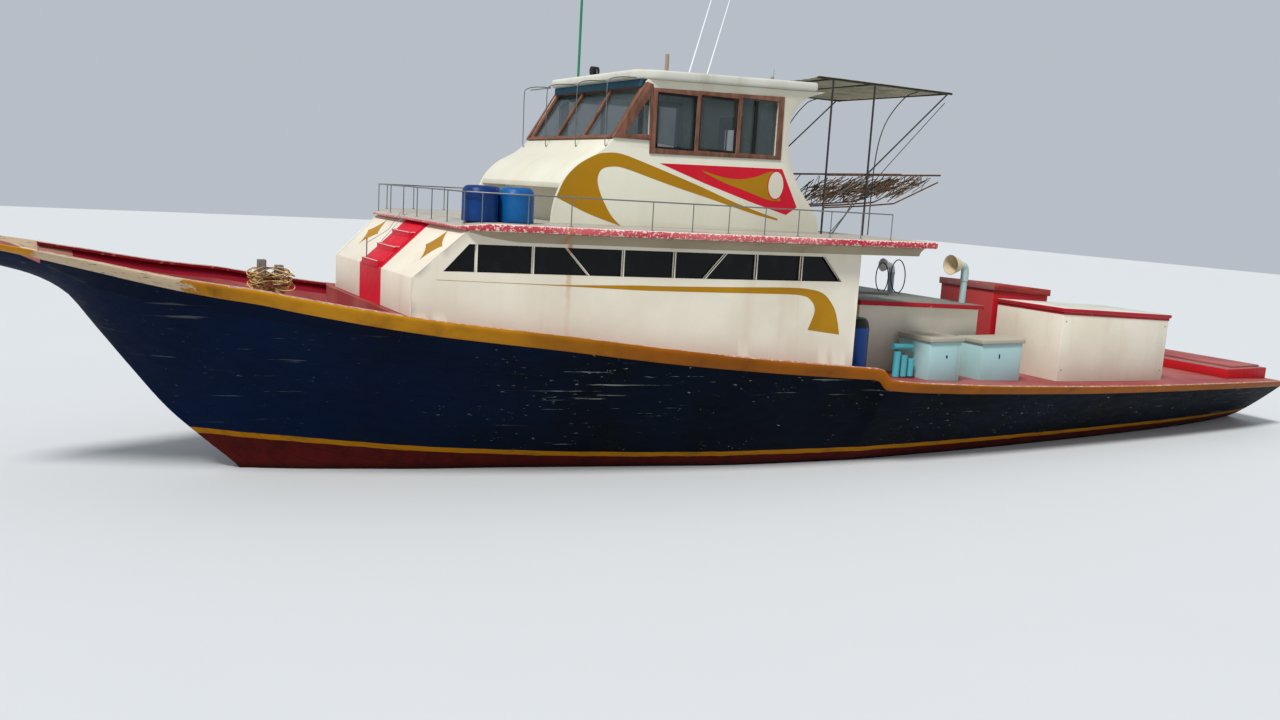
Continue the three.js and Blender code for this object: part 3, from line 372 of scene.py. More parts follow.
class Link:
    # A node's output. Arithmetic on it adds Math nodes.

    def __init__(self, look, socket):
        self.look, self.socket = look, socket

    def maths(self, operation, first, second=0.0):
        # One Math node on two values.
        return self.look.node("Math", {"operation": operation}, {0: first, 1: second})

    def __add__(self, other):
        return self.maths("ADD", self, other)

    def __sub__(self, other):
        return self.maths("SUBTRACT", self, other)

    def __rsub__(self, other):
        return self.maths("SUBTRACT", other, self)

    def __mul__(self, other):
        return self.maths("MULTIPLY", self, other)

    def __truediv__(self, other):
        return self.maths("DIVIDE", self, other)

    def __pow__(self, other):
        return self.maths("POWER", self, other)

    __radd__, __rmul__ = __add__, __mul__

    def most(self, other):
        # The larger of the two.
        return self.maths("MAXIMUM", self, other)

    def least(self, other):
        # The smaller of the two.
        return self.maths("MINIMUM", self, other)


def tint(colour):
    # A screen colour from 0 to 255 made linear: the power 2.2 of its share.
    return tuple((c / 255) ** 2.2 for c in colour) + (1.0,)


class Finish:
    def __init__(self, name, slot):
        self.material = bpy.data.materials.new(name)
        self.material.use_nodes = True
        self.tree = self.material.node_tree
        self.shader = self.tree.nodes["Principled BSDF"]
        self.slot = slot
        self.place = self.node("TexCoord", out="Object")

    def node(self, kind, settings=None, inputs=None, out=0):
        # A new node. Each input is a value or another node's output.
        node = self.tree.nodes.new("ShaderNode" + kind)
        for key, value in (settings or {}).items():
            setattr(node, key, value)
        for key, value in (inputs or {}).items():
            self.feed(node.inputs[key], value)
        return Link(self, node.outputs[out])

    def feed(self, socket, value):
        # Links an output to the socket, or sets the socket's own value.
        if isinstance(value, Link):
            self.tree.links.new(value.socket, socket)
        else:
            socket.default_value = value

    def axis(self, name):
        # One coordinate of the place on the object.
        return self.node("SeparateXYZ", inputs={0: self.place}, out=name)

    def number(self, name):
        # A number that the mesh holds for each point.
        return self.node("Attribute", {"attribute_name": name}, out="Fac")

    def noise(self, scale, detail=4.0, rough=0.55, stretch=(1, 1, 1), shift=0.0):
        # Noise over the place on the object, which is first multiplied by stretch and shifted.
        spot = self.node("Mapping", inputs={0: self.place, 1: (shift, shift * 1.7, shift * 0.6), 3: stretch})
        return self.node("TexNoise", inputs={"Vector": spot, "Scale": scale, "Detail": detail,
                                             "Roughness": rough})

    def band(self, value, low, high):
        # Nought below low, one above high and smooth between.
        return self.node("MapRange", {"interpolation_type": "SMOOTHSTEP"},
                         {0: value, 1: low, 2: high, 3: 0.0, 4: 1.0})

    def blend(self, share, first, second):
        # The first colour where the share is nought, the second where it is one.
        return self.node("Mix", {"data_type": "RGBA"}, {0: share, 6: first, 7: second}, out=2)

    def done(self, colour, rough=0.6, height=None, depth=0.004, strength=0.6, metal=0.0, shine=0.2):
        # Feeds the shader, with a bump where a height is given.
        self.shader.inputs["Specular IOR Level"].default_value = shine
        self.feed(self.shader.inputs["Base Color"], colour)
        self.feed(self.shader.inputs["Roughness"], rough)
        self.feed(self.shader.inputs["Metallic"], metal)
        if height is not None:
            bump = self.node("Bump", inputs={"Strength": strength, "Distance": depth, "Height": height})
            self.feed(self.shader.inputs["Normal"], bump)
        return self


paintLook = {
    "shade": (150, 145, 130), "under": (176, 152, 129), "dirt": (120, 92, 62), "chips": 0.2, "edgeChips": 0.6,
    "runs": 0.25, "mottle": 0.5, "rough": (0.42, 0.72), "brush": (1, 1, 1), "depth": 0.003, "flake": 7,
    "rustAt": None, "rust": (178, 104, 44), "seam": (48, 34, 30),
}


def weathered(f, colour, look):
    # Paint that has faded in patches, is dirty in runs and has chips down to what is under it.
    pale = f.band(f.noise(0.7, 3, shift=2.0), 0.35, 0.68)
    fine = f.noise(11, 7, 0.68, stretch=look["brush"])
    tone = f.blend(pale * look["mottle"], colour, tint(look["shade"]))
    tone = f.blend(f.band(fine, 0.35, 0.8) * 0.3 * look["mottle"], tone, tint(look["shade"]))
    runs = f.band(f.noise(2.6, 6, 0.6, stretch=(1, 1, 0.09), shift=5.0), 0.52, 0.78)
    tone = f.blend(runs * look["runs"], tone, tint(look["dirt"]))
    edge = f.number("wear")
    flakes = f.noise(look["flake"], 9, 0.72, shift=9.0) + edge * (0.22 * look["edgeChips"])
    bare = f.band(flakes, 0.74 - 0.16 * look["chips"], 0.765 - 0.16 * look["chips"])
    tone = f.blend(bare, tone, tint(look["under"]))
    if look["rustAt"] is not None:
        off = f.axis("X") - look["rustAt"]
        stain = f.band(off.maths("ABSOLUTE", off) + (f.noise(8, 4) - 0.5) * 0.09, 0.06, 0.0)
        tone = f.blend(stain * (f.band(f.axis("Z"), 2.6, 3.5) * 0.5 + 0.12), tone, tint(look["rust"]))
    low, high = look["rough"]
    rough = f.band(fine + bare * 0.3, 0.2, 1.0) * (high - low) + low
    height = fine * 0.5 + runs * 0.1 - bare * 0.45
    return tone, rough, height


def paintwork(name, slot, colour, **changes):
    # Weathered paint of one colour, with the usual wear but for the changes given.
    look = {**paintLook, **changes}
    f = Finish(name, slot)
    tone, rough, height = weathered(f, tint(colour), look)
    return f.done(tone, rough, height, look["depth"])


# Hull paint: blue topsides with long scratches, an ochre boot stripe, a maroon bottom. All three are mixed
# darker than the paint itself, to stand for the shade on the downward-facing hull: painted shade.
hullLook = {
    "blue": (1, 19, 33), "bowBlue": (1, 26, 52), "blueShade": (1, 12, 18), "blueFleck": (5, 28, 42),
    "stripe": (160, 104, 16), "stripeWorn": (96, 74, 30), "bottom": (78, 26, 24), "bottomWorn": (52, 20, 18),
    "scratch": (138, 144, 138), "grime": (26, 24, 14), "seam": (6, 9, 14),
    "stripeTop": 0.28, "stripeRise": 0.0078, "stripeFrom": 4.6, "stripeDeep": 0.085, "strakes": 15,
}


def hullPaint():
    # Blue above a line that rises forward with the square of the distance, and below it the stripe and
    # the bottom.
    f = Finish("hull_paint", "navy_paint")
    x, z = f.axis("X"), f.axis("Z")
    wobble = (f.noise(2.2, 4) - 0.5) * 0.03
    top = (x - hullLook["stripeFrom"]).most(0.0) ** 2 * hullLook["stripeRise"] + hullLook["stripeTop"]
    above = f.band(z + wobble - top, -0.002, 0.006)
    stripe = f.band(z + wobble * 1.6 - top + hullLook["stripeDeep"], -0.002, 0.006)
    patch = f.band(f.noise(0.55, 4), 0.35, 0.7) * (1 - f.band(x, 6.0, 11.0) * 0.6)
    tone = f.blend(f.band(x, 5.0, 11.0), tint(hullLook["blue"]), tint(hullLook["bowBlue"]))
    tone = f.blend(patch, tone, tint(hullLook["blueShade"]))
    fine = f.noise(6, 8, 0.7, stretch=(0.5, 1, 1.4))
    tone = f.blend(f.band(fine, 0.5, 0.85) * 0.3, tone, tint(hullLook["blueFleck"]))
    long = f.noise(2.4, 7, 0.62, stretch=(0.28, 0.4, 9), shift=3.0)
    where = f.band(f.noise(0.35, 3, shift=7.0) + f.band(z, 0.2, 1.5) * 0.10, 0.50, 0.66)
    cuts = f.band(long, 0.635, 0.665) * where
    short = f.band(f.noise(13, 5, 0.6, stretch=(0.7, 1, 2.2), shift=12.0), 0.665, 0.685)
    short = short * f.band(f.noise(0.9, 3, shift=4.0), 0.46, 0.54)
    fewerForward = 1 - f.band(x, 6.0, 9.5) * 0.75
    tone = f.blend((cuts + short * 0.9).least(1.0) * fewerForward * above, tone, tint(hullLook["scratch"]))
    low = f.band(z, 1.0, 0.3) * f.band(f.noise(1.4, 5, 0.6, stretch=(1, 1, 0.25), shift=1.0), 0.4, 0.8)
    tone = f.blend(low * 0.45, tone, tint(hullLook["grime"]))
    faded = f.band(f.noise(5, 6, 0.7, stretch=(0.4, 1, 1)), 0.45, 0.75) * 0.7
    band = f.blend(faded, tint(hullLook["stripe"]), tint(hullLook["stripeWorn"]))
    faded = f.band(f.noise(4, 6, 0.7), 0.4, 0.8)
    foot = f.blend(faded, tint(hullLook["bottom"]), tint(hullLook["bottomWorn"]))
    foot = f.blend(f.band(z, 0.12, 0.0) * 0.75, foot, tint(hullLook["grime"]))
    tone = f.blend(above, f.blend(stripe, foot, band), tone)
    strake = f.number("strake") * hullLook["strakes"]
    seam = f.band(strake.maths("PINGPONG", strake, 0.5), 0.0, 0.05)
    tone = f.blend((1 - seam) * 0.35, tone, tint(hullLook["seam"]))
    height = fine * 0.35 + seam * 0.5 - cuts * 0.4
    return f.done(tone, f.band(fine, 0.2, 0.9) * 0.3 + 0.45, height, 0.004, shine=0.05)


# Rubbing band: ochre, bare grey timber near the bow, dark seams along the bare stretch
bandLook = {
    "ochre": (156, 88, 8), "bowOchre": (196, 134, 24), "shade": (112, 62, 8),
    "bare": (190, 168, 138), "crack": (70, 56, 42),
    "bareFrom": 12.0, "bareTo": 13.7, "farFrom": 9.6, "farTo": 14.6,
}


def bandPaint():
    # Ochre paint, which gives way to bare timber between ragged limits of x, other ones on each side.
    f = Finish("band_paint", "ochre_paint")
    x, y = f.axis("X"), f.axis("Y")
    ochreTone = f.blend(f.band(x, 5.0, 9.0), tint(bandLook["ochre"]), tint(bandLook["bowOchre"]))
    tone, rough, height = weathered(f, ochreTone, {
        **paintLook, "shade": bandLook["shade"], "under": (176, 146, 106), "chips": 0.12, "edgeChips": 0.55,
        "runs": 0.45, "dirt": (74, 42, 14), "brush": (0.3, 1, 1)})
    grain = f.noise(16, 8, 0.7, stretch=(0.1, 1, 2.6), shift=4.0)
    ragged = (f.noise(3, 6, 0.7, stretch=(0.3, 1, 1), shift=6.0) - 0.5) * 1.4
    bare = f.band(x + ragged, bandLook["bareFrom"] - 0.05, bandLook["bareFrom"] + 0.05)
    bare = bare * f.band(x + ragged * 0.6, bandLook["bareTo"] + 0.06, bandLook["bareTo"] - 0.06)
    far = f.band(x + ragged, bandLook["farFrom"], bandLook["farFrom"] + 0.1)
    far = far * f.band(x, bandLook["farTo"], bandLook["farTo"] - 0.1)
    bare = (bare * f.band(y, 0.0, 0.1)).most(far * f.band(y, 0.0, -0.1))
    wood = f.blend(f.band(grain, 0.56, 0.66), tint(bandLook["bare"]), tint(bandLook["crack"]))
    tone = f.blend(bare, tone, wood)
    return f.done(tone, rough, height + grain * 0.6 * bare, 0.004, shine=0.12)


def planked(name, slot, colour, pitch, **changes):
    # Painted deck planks with dark seams at even steps across them.
    look = {**paintLook, **changes}
    f = Finish(name, slot)
    tone, rough, height = weathered(f, tint(colour), look)
    across = f.axis("Y") / pitch
    seam = f.band(across.maths("PINGPONG", across, 0.5), 0.0, 0.035)
    tone = f.blend((1 - seam) * 0.55, tone, tint(look["seam"]))
    return f.done(tone, rough, height + seam * 0.8, 0.004)


def timberFinish(name, colour, dark, stretch, slot="timber"):
    # Fine noise drawn out along the grain, with wider dark patches.
    f = Finish(name, slot)
    grain = f.noise(9, 8, 0.68, stretch=stretch)
    knots = f.noise(2.2, 4, 0.6, stretch=stretch, shift=3.0)
    tone = f.blend(f.band(grain, 0.32, 0.7), tint(dark), tint(colour))
    tone = f.blend(f.band(knots, 0.55, 0.75) * 0.5, tone, tint(dark))
    return f.done(tone, f.band(grain, 0.2, 0.8) * 0.25 + 0.43, grain, 0.003)


def plasticFinish(name, slot, colour, pale):
    # Moulded plastic that the sun has bleached, with scuffs round it.
    f = Finish(name, slot)
    scuff = f.noise(9, 8, 0.72, stretch=(1, 1, 3))
    tone = f.blend(f.band(f.noise(1.8, 4), 0.35, 0.75) * 0.55, tint(colour), tint(pale))
    tone = f.blend(f.band(scuff, 0.62, 0.72) * 0.5, tone, tint(pale))
    tone = f.blend(f.number("wear") * 0.25, tone, tint(pale))
    return f.done(tone, f.band(scuff, 0.3, 0.8) * 0.3 + 0.28, scuff, 0.002, 0.4, shine=0.25)


def metalFinish(name, slot, colour, rust, metal, rough, share=0.3):
    # Metal with rust where fine and coarse noise together pass a limit, lower where the share is higher.
    f = Finish(name, slot)
    spots = f.noise(12, 8, 0.7)
    coat = f.noise(2, 5, 0.6, shift=4.0)
    rusty = f.band(spots * 0.6 + coat * 0.4 + f.number("wear") * 0.08, 0.66 - share * 0.25,
                   0.72 - share * 0.25)
    tone = f.blend(f.band(coat, 0.3, 0.7) * 0.4, tint(colour), tint([c * 0.7 for c in colour]))
    tone = f.blend(rusty, tone, tint(rust))
    return f.done(tone, rusty * 0.3 + rough, spots, 0.002, metal=(1 - rusty) * metal, shine=0.5)


def glassFinish(name, slot, colour, alpha, rough, dusty=0.35, shine=0.5):
    # Salt-dusty glass: the dust makes it duller and a little more solid.
    f = Finish(name, slot)
    dust = f.noise(3.5, 8, 0.7, stretch=(1, 1, 0.6))
    smear = f.band(dust, 0.45, 0.8)
    tone = f.blend(smear * dusty, tint(colour), tint((96, 98, 96)))
    f.feed(f.shader.inputs["Alpha"], (smear * 0.18 + alpha).least(1.0))
    return f.done(tone, smear * 0.35 + rough, dust, 0.001, 0.2, shine=shine)


def clothFinish(name, slot, colour, dark, pitch=0.004):
    # Woven cloth: two crossed rows of threads, faded and stained.
    f = Finish(name, slot)
    x, y, z = (f.axis(k) * (2 * math.pi / pitch) for k in "XYZ")
    weave = x.maths("SINE", x) * y.maths("SINE", y) * 0.5 + z.maths("SINE", z) * 0.2
    stain = f.band(f.noise(2.4, 6, 0.65), 0.35, 0.75)
    tone = f.blend(stain, tint(colour), tint(dark))
    return f.done(tone, 0.85, weave * 0.4 + f.noise(30, 4) * 0.6, 0.002)


def ropeFinish(name, slot, colour, dark):
    # Very fine noise between two tones, as of loose fibres.
    f = Finish(name, slot)
    fibre = f.noise(60, 6, 0.7)
    tone = f.blend(f.band(fibre, 0.3, 0.75), tint(dark), tint(colour))
    return f.done(tone, 0.85, fibre, 0.002)


print("finishes")
blue = hullPaint()
ochre = bandPaint()
cream = paintwork("cream_wall_paint", "cream_paint", (224, 217, 198), shade=(206, 196, 174),
                  under=(150, 128, 104), dirt=(176, 128, 84), chips=-0.15, edgeChips=0.35, runs=0.22,
                  mottle=0.6, rustAt=6.84)
creamHouse = paintwork("wheelhouse_paint", "cream_paint", (216, 213, 194), shade=(200, 193, 172),
                       under=(150, 128, 104), dirt=(176, 128, 84), chips=-0.2, edgeChips=0.3, runs=0.12,
                       mottle=0.5)
hornCream = paintwork("horn_paint", "cream_paint", (206, 190, 156), shade=(178, 158, 122), dirt=(120, 96, 66),
                      runs=0.3)
ventGrey = paintwork("vent_grey_paint", "grey_paint", (156, 178, 196), shade=(134, 154, 172), runs=0.3)
ventWhite = paintwork("vent_white_paint", "grey_paint", (222, 224, 222), shade=(200, 202, 198), runs=0.3)
pipeCyan = paintwork("vent_pipe_paint", "cyan_paint", (168, 190, 188), shade=(148, 172, 170), runs=0.3)
brow = paintwork("brow_paint", "navy_paint", (26, 84, 104), shade=(20, 62, 80), chips=-0.1, runs=0.1)
whipWhite = paintwork("whip_paint", "cream_paint", (236, 238, 240), shade=(214, 218, 222), chips=-0.3,
                      runs=0.0)
creamRoof = paintwork("cream_roof_paint", "cream_paint", (208, 207, 194), shade=(182, 181, 168),
                      dirt=(136, 122, 100), under=(132, 120, 104), chips=0.0, runs=0.3)
# The coving's cream is mixed darker than the wall's cream to stand for the shade under the upper deck's edge:
# painted shade. Its runs and the rust below the rail post are real stains.
coveShade = paintwork("coving_paint_in_painted_shade", "cream_paint", (160, 150, 126), shade=(136, 124, 102),
                      dirt=(116, 88, 60), runs=0.45, rustAt=6.92)
gold = paintwork("gold_paint", "ochre_paint", (172, 124, 12), shade=(150, 104, 10), chips=-0.1, runs=0.12,
                 under=(214, 200, 170), mottle=0.7, brush=(1, 1, 4))
bright = paintwork("bright_red_paint", "red_paint", (206, 24, 48), shade=(180, 20, 38), under=(226, 214, 204),
                   chips=0.05, edgeChips=0.9, runs=0.12)
fascia = paintwork("fascia_paint", "red_paint", (172, 24, 40), shade=(150, 30, 42), under=(214, 186, 178),
                   chips=0.5, edgeChips=1.0, runs=0.25, flake=12)
worn = paintwork("worn_red_edge_paint", "red_paint", (172, 40, 58), shade=(200, 98, 100),
                 under=(226, 200, 188), chips=1.0, edgeChips=1.0, runs=0.35, mottle=1.1, dirt=(140, 80, 50),
                 flake=24, rustAt=6.93)
stepEdge = paintwork("step_edge_paint", "red_paint", (214, 120, 122), shade=(226, 170, 164),
                     under=(236, 216, 208), chips=0.9, mottle=1.2, flake=16)
deepRed = paintwork("inner_red_paint", "red_paint", (142, 16, 38), shade=(122, 16, 34), under=(170, 120, 100),
                    runs=0.3)
tankRed = paintwork("tank_red_paint", "red_paint", (188, 34, 42), shade=(160, 30, 36), under=(206, 150, 144),
                    runs=0.3)
# A duller, darker red for the tank's fore faces, which stands for the cabin's shadow on them: painted shade,
# with more chips and runs than the sides.
tankForeShade = paintwork("tank_fore_paint_painted_shade", "red_paint", (170, 62, 62), shade=(146, 52, 52),
                     under=(180, 120, 112), chips=0.5, runs=0.4)
wornPlank = paintwork("worn_plank_paint", "red_paint", (150, 76, 76), shade=(136, 98, 92),
                      under=(172, 146, 134), chips=0.9, runs=0.2, mottle=1.2, brush=(0.3, 1, 1))
maroonCap = paintwork("cap_maroon_paint", "maroon_paint", (156, 90, 76), shade=(168, 118, 102),
                      under=(196, 168, 140), chips=0.8, runs=0.1, mottle=1.2, brush=(0.3, 1, 1), flake=12)
bottomRed = paintwork("bottom_paint", "maroon_paint", (96, 36, 34), shade=(70, 28, 28), chips=0.2)
deckRed = planked("deck_paint", "maroon_paint", (142, 58, 58), 0.14, shade=(162, 92, 86),
                  under=(150, 122, 104), chips=0.6, mottle=1.0, runs=0.0, brush=(0.2, 1, 1))
deckGrey = planked("upper_deck_paint", "grey_paint", (178, 172, 160), 0.16, shade=(146, 140, 128), chips=0.2,
                   runs=0.0)
casingTop = paintwork("casing_top_paint", "grey_paint", (118, 118, 107), shade=(98, 97, 88), chips=0.3,
                      runs=0.0)
cyan = paintwork("pale_blue_paint", "cyan_paint", (170, 204, 203), shade=(152, 188, 188),
                 under=(210, 206, 190), dirt=(134, 122, 96), chips=0.05, edgeChips=1.0, runs=0.3)
lidPaint = paintwork("lid_paint", "cyan_paint", (176, 172, 154), shade=(156, 150, 132), under=(130, 120, 104),
                     runs=0.1)
turquoise = paintwork("pipe_paint", "cyan_paint", (84, 182, 194), shade=(62, 142, 154), under=(200, 210, 205),
                      runs=0.2)
postTan = paintwork("roof_post_paint", "grey_paint", (158, 142, 118), shade=(130, 116, 96), chips=0.3)
green = paintwork("pole_green_paint", "green_paint", (44, 128, 104), shade=(34, 98, 84), chips=0.2)
black = paintwork("black_paint", "black_paint", (24, 25, 27), shade=(44, 44, 44), under=(84, 84, 82),
                  chips=0.0)
timber = timberFinish("window_timber", (134, 92, 74), (92, 62, 48), (1, 1, 0.3))
timberDark = timberFinish("door_timber", (112, 80, 58), (66, 46, 33), (1, 1, 0.15))
bittWood = timberFinish("bitt_timber", (128, 122, 120), (84, 78, 76), (1, 1, 0.2))
stickGrey = timberFinish("stick_timber", (128, 120, 106), (84, 76, 64), (1, 1, 1))
plank = timberFinish("lid_planks", (168, 60, 52), (110, 36, 34), (0.2, 1, 1), slot="red_paint")
steel = metalFinish("rail_steel", "galvanised_steel", (128, 130, 130), (112, 66, 38), 0.7, 0.42)
steelDark = metalFinish("frame_steel", "galvanised_steel", (70, 68, 62), (96, 60, 40), 0.5, 0.5, 0.4)
ironwork = metalFinish("iron", "cast_iron", (74, 76, 78), (96, 58, 38), 0.5, 0.55, 0.5)
bronze = metalFinish("bronze", "bronze", (168, 128, 60), (96, 110, 82), 1.0, 0.32, 0.25)
drumBlue = plasticFinish("drum_plastic", "blue_plastic", (5, 46, 100), (20, 78, 140))
# A lighter copy of the drum plastic, which stands for sunlight on the middle drum: painted light.
drumSunlit = plasticFinish("sunlit_drum_plastic", "blue_plastic", (8, 74, 132), (30, 106, 160))
barrelBlue = plasticFinish("barrel_plastic", "blue_plastic", (6, 52, 112), (24, 78, 136))
darkGlass = glassFinish("dark_glass", "dark_glass", (6, 7, 8), 1.0, 0.2, 0.1, 0.2)
clearGlass = glassFinish("clear_glass", "clear_glass", (70, 84, 86), 0.42, 0.08)
canvas = clothFinish("canopy_cloth", "canvas", (178, 176, 150), (138, 136, 112))
hemp = ropeFinish("hemp", "canvas", (214, 184, 126), (160, 124, 76))


# Hull lines, in metres. Half-beam and height at the rail, half-beam at the water, height of the planking's
# foot, depth of the rubbing band, fullness below the water and power of the topside's curve.
lineColumns = ("x", "rail", "sheer", "water", "keel", "band", "full", "flare")
lineTable = np.array([
    (-11.00, 3.050, 1.090, 1.75, -0.06, 0.160, 0.60, 0.85),
    (-9.50, 3.210, 1.140, 2.05, -0.38, 0.160, 0.60, 0.85),
    (-8.00, 3.310, 1.183, 2.23, -0.69, 0.160, 0.60, 0.85),
    (-6.00, 3.390, 1.236, 2.37, -0.98, 0.165, 0.58, 0.85),
    (-4.25, 3.430, 1.290, 2.45, -1.12, 0.170, 0.55, 0.85),
    (-1.50, 3.460, 1.405, 2.52, -1.26, 0.175, 0.50, 0.85),
    (-0.37, 3.450, 1.470, 2.52, -1.29, 0.190, 0.50, 0.85),
    (1.20, 3.405, 1.600, 2.49, -1.30, 0.200, 0.50, 0.85),
    (1.42, 3.385, 1.790, 2.46, -1.30, 0.215, 0.50, 0.85),
    (1.78, 3.365, 1.822, 2.42, -1.30, 0.220, 0.50, 0.86),
    (3.50, 3.260, 1.972, 2.18, -1.30, 0.235, 0.52, 0.90),
    (5.19, 3.070, 2.135, 1.76, -1.28, 0.245, 0.56, 0.95),
    (7.11, 2.790, 2.355, 1.26, -1.22, 0.245, 0.64, 1.05),
    (8.63, 2.480, 2.508, 0.90, -1.12, 0.240, 0.74, 1.20),
    (9.20, 2.340, 2.578, 0.72, -1.04, 0.236, 0.80, 1.30),
    (10.07, 2.130, 2.704, 0.45, -0.80, 0.225, 0.90, 1.45),
    (10.65, 1.990, 2.800, 0.23, -0.43, 0.215, 1.00, 1.45),
    (11.05, 1.870, 2.870, 0.09, 0.05, 0.205, 1.00, 1.25),
    (11.50, 1.720, 2.922, 0.09, 0.47, 0.195, 1.00, 1.15),
    (12.00, 1.545, 2.988, 0.09, 0.96, 0.175, 1.00, 1.05),
    (12.50, 1.370, 3.072, 0.09, 1.60, 0.160, 1.00, 0.95),
    (12.93, 1.215, 3.153, 0.09, 2.18, 0.145, 1.00, 0.85),
    (13.31, 1.070, 3.217, 0.09, 2.67, 0.130, 1.00, 0.75),
    (13.69, 0.930, 3.285, 0.09, 2.89, 0.115, 1.00, 0.65),
    (14.05, 0.800, 3.340, 0.09, 3.00, 0.095, 1.00, 0.60),
    (15.00, 0.420, 3.500, 0.09, 3.22, 0.090, 1.00, 0.60),
    (15.90, 0.060, 3.680, 0.05, 3.48, 0.085, 1.00, 0.60),
])
line = {name: easeThrough(lineTable[:, 0], lineTable[:, k]) for k, name in enumerate(lineColumns)}
hullSize = {
    "aft": -11.0, "tip": 15.9, "foot": 0.09, "lip": 0.04, "sunkFrom": 1.20, "sunkTo": 1.78, "foredeck": 9.20,
    "step": 0.003, "sunkLow": (1.56, 1.60),
}
# How far the foredeck lies below the rail
foreDrop = easeThrough([9.2, 12.5, 12.93, 13.31, 13.69, 14.05, 15.0, 15.9],
                       [0.4, 0.4, 0.38, 0.28, 0.15, 0.06, 0.04, 0.04])


def halfBeam(x, z):
    # Below the water a power curve from the keel's side to the waterline, above it one from there to the
    # rail. Forward of the forefoot one power curve from the stem to the rail.
    keel, rail, sheer, water = line["keel"](x), line["rail"](x), line["sheer"](x), line["water"](x)
    foot = np.minimum(hullSize["foot"], rail * 0.6)
    wet = np.clip((z - keel) / np.where(keel < 0, -keel, 1), 0, 1)
    low = np.where(keel < 0, 0, keel)
    start = np.where(keel < 0, np.maximum(water, foot), foot)
    dry = np.clip((z - low) / (sheer - low), 0, 1)
    below = foot + (start - foot) * wet ** line["full"](x)
    above = start + (rail - start) * dry ** line["flare"](x)
    return np.where((z < 0) & (keel < 0), below, above)


def deckHeight(x):
    # The rail's height less the lip, with a sunk stretch amidships, and on the foredeck less its own drop.
    x = np.asarray(x, float)
    height = line["sheer"](x) - hullSize["lip"]
    share = (x - hullSize["sunkFrom"]) / (hullSize["sunkTo"] - hullSize["sunkFrom"])
    low, high = hullSize["sunkLow"]
    height = np.where((x > hullSize["sunkFrom"]) & (x < hullSize["sunkTo"] + 0.001),
                      low + (high - low) * share, height)
    return np.where(x > hullSize["foredeck"] + 0.001, line["sheer"](x) - foreDrop(x), height)


def columnsOf(x0, x1, pitch=0.115):
    # Sections along the boat, with a pair at each step of the deck.
    xs = np.linspace(x0, x1, int((x1 - x0) / pitch) + 2)
    steps = [hullSize["sunkFrom"], hullSize["sunkTo"], hullSize["foredeck"]]
    extra = [v + d for v in steps for d in (0.0, hullSize["step"]) if x0 < v + d < x1]
    return np.unique(np.concatenate([xs, extra]))


print("hull")
hx = columnsOf(hullSize["aft"], hullSize["tip"])
deckZ, keelZ = deckHeight(hx), line["keel"](hx)
up = np.linspace(0, 1, 44) ** 1.7
sideZ = keelZ[:, None] + (deckZ - keelZ)[:, None] * up
sideY = halfBeam(hx[:, None], sideZ)
portSide = sections(hx, sideY, sideZ)
share = np.linspace(1, -1, 16)[1:-1]
deckTop = sections(hx, sideY[:, -1:] * share, deckZ[:, None] + 0 * share)
hullRings = np.concatenate([portSide, deckTop, portSide[:, ::-1] * [1, -1, 1]], 1)
strake = (hullRings[..., 2] - keelZ[:, None]) / (line["sheer"](hx) - keelZ)[:, None]


def onHullDeck(at, normal):
    # The deck, its ramp at the bow and the small step at the foredeck's after end
    deck = (normal[:, 2] > 0.3) & (at[:, 2] > 0.9)
    step = (np.abs(at[:, 0] - hullSize["foredeck"]) < 0.02) & (at[:, 2] > 1.9) & (normal[:, 0] > 0.5)
    return deck | step


well = block((-2.05, -0.8, -0.55), (-0.25, 0.8, 2.6), edge=0.01)
trunk = turned(-9.3, 0, [(0.0388, -0.9), (0.0388, -0.04)], 32)
piece("hull_planking", loft(hullRings), [blue, deckRed], extra={"strake": strake.ravel()}, replaces="hull",
      smooth=50, cut=[well, trunk], pick=onHullDeck)

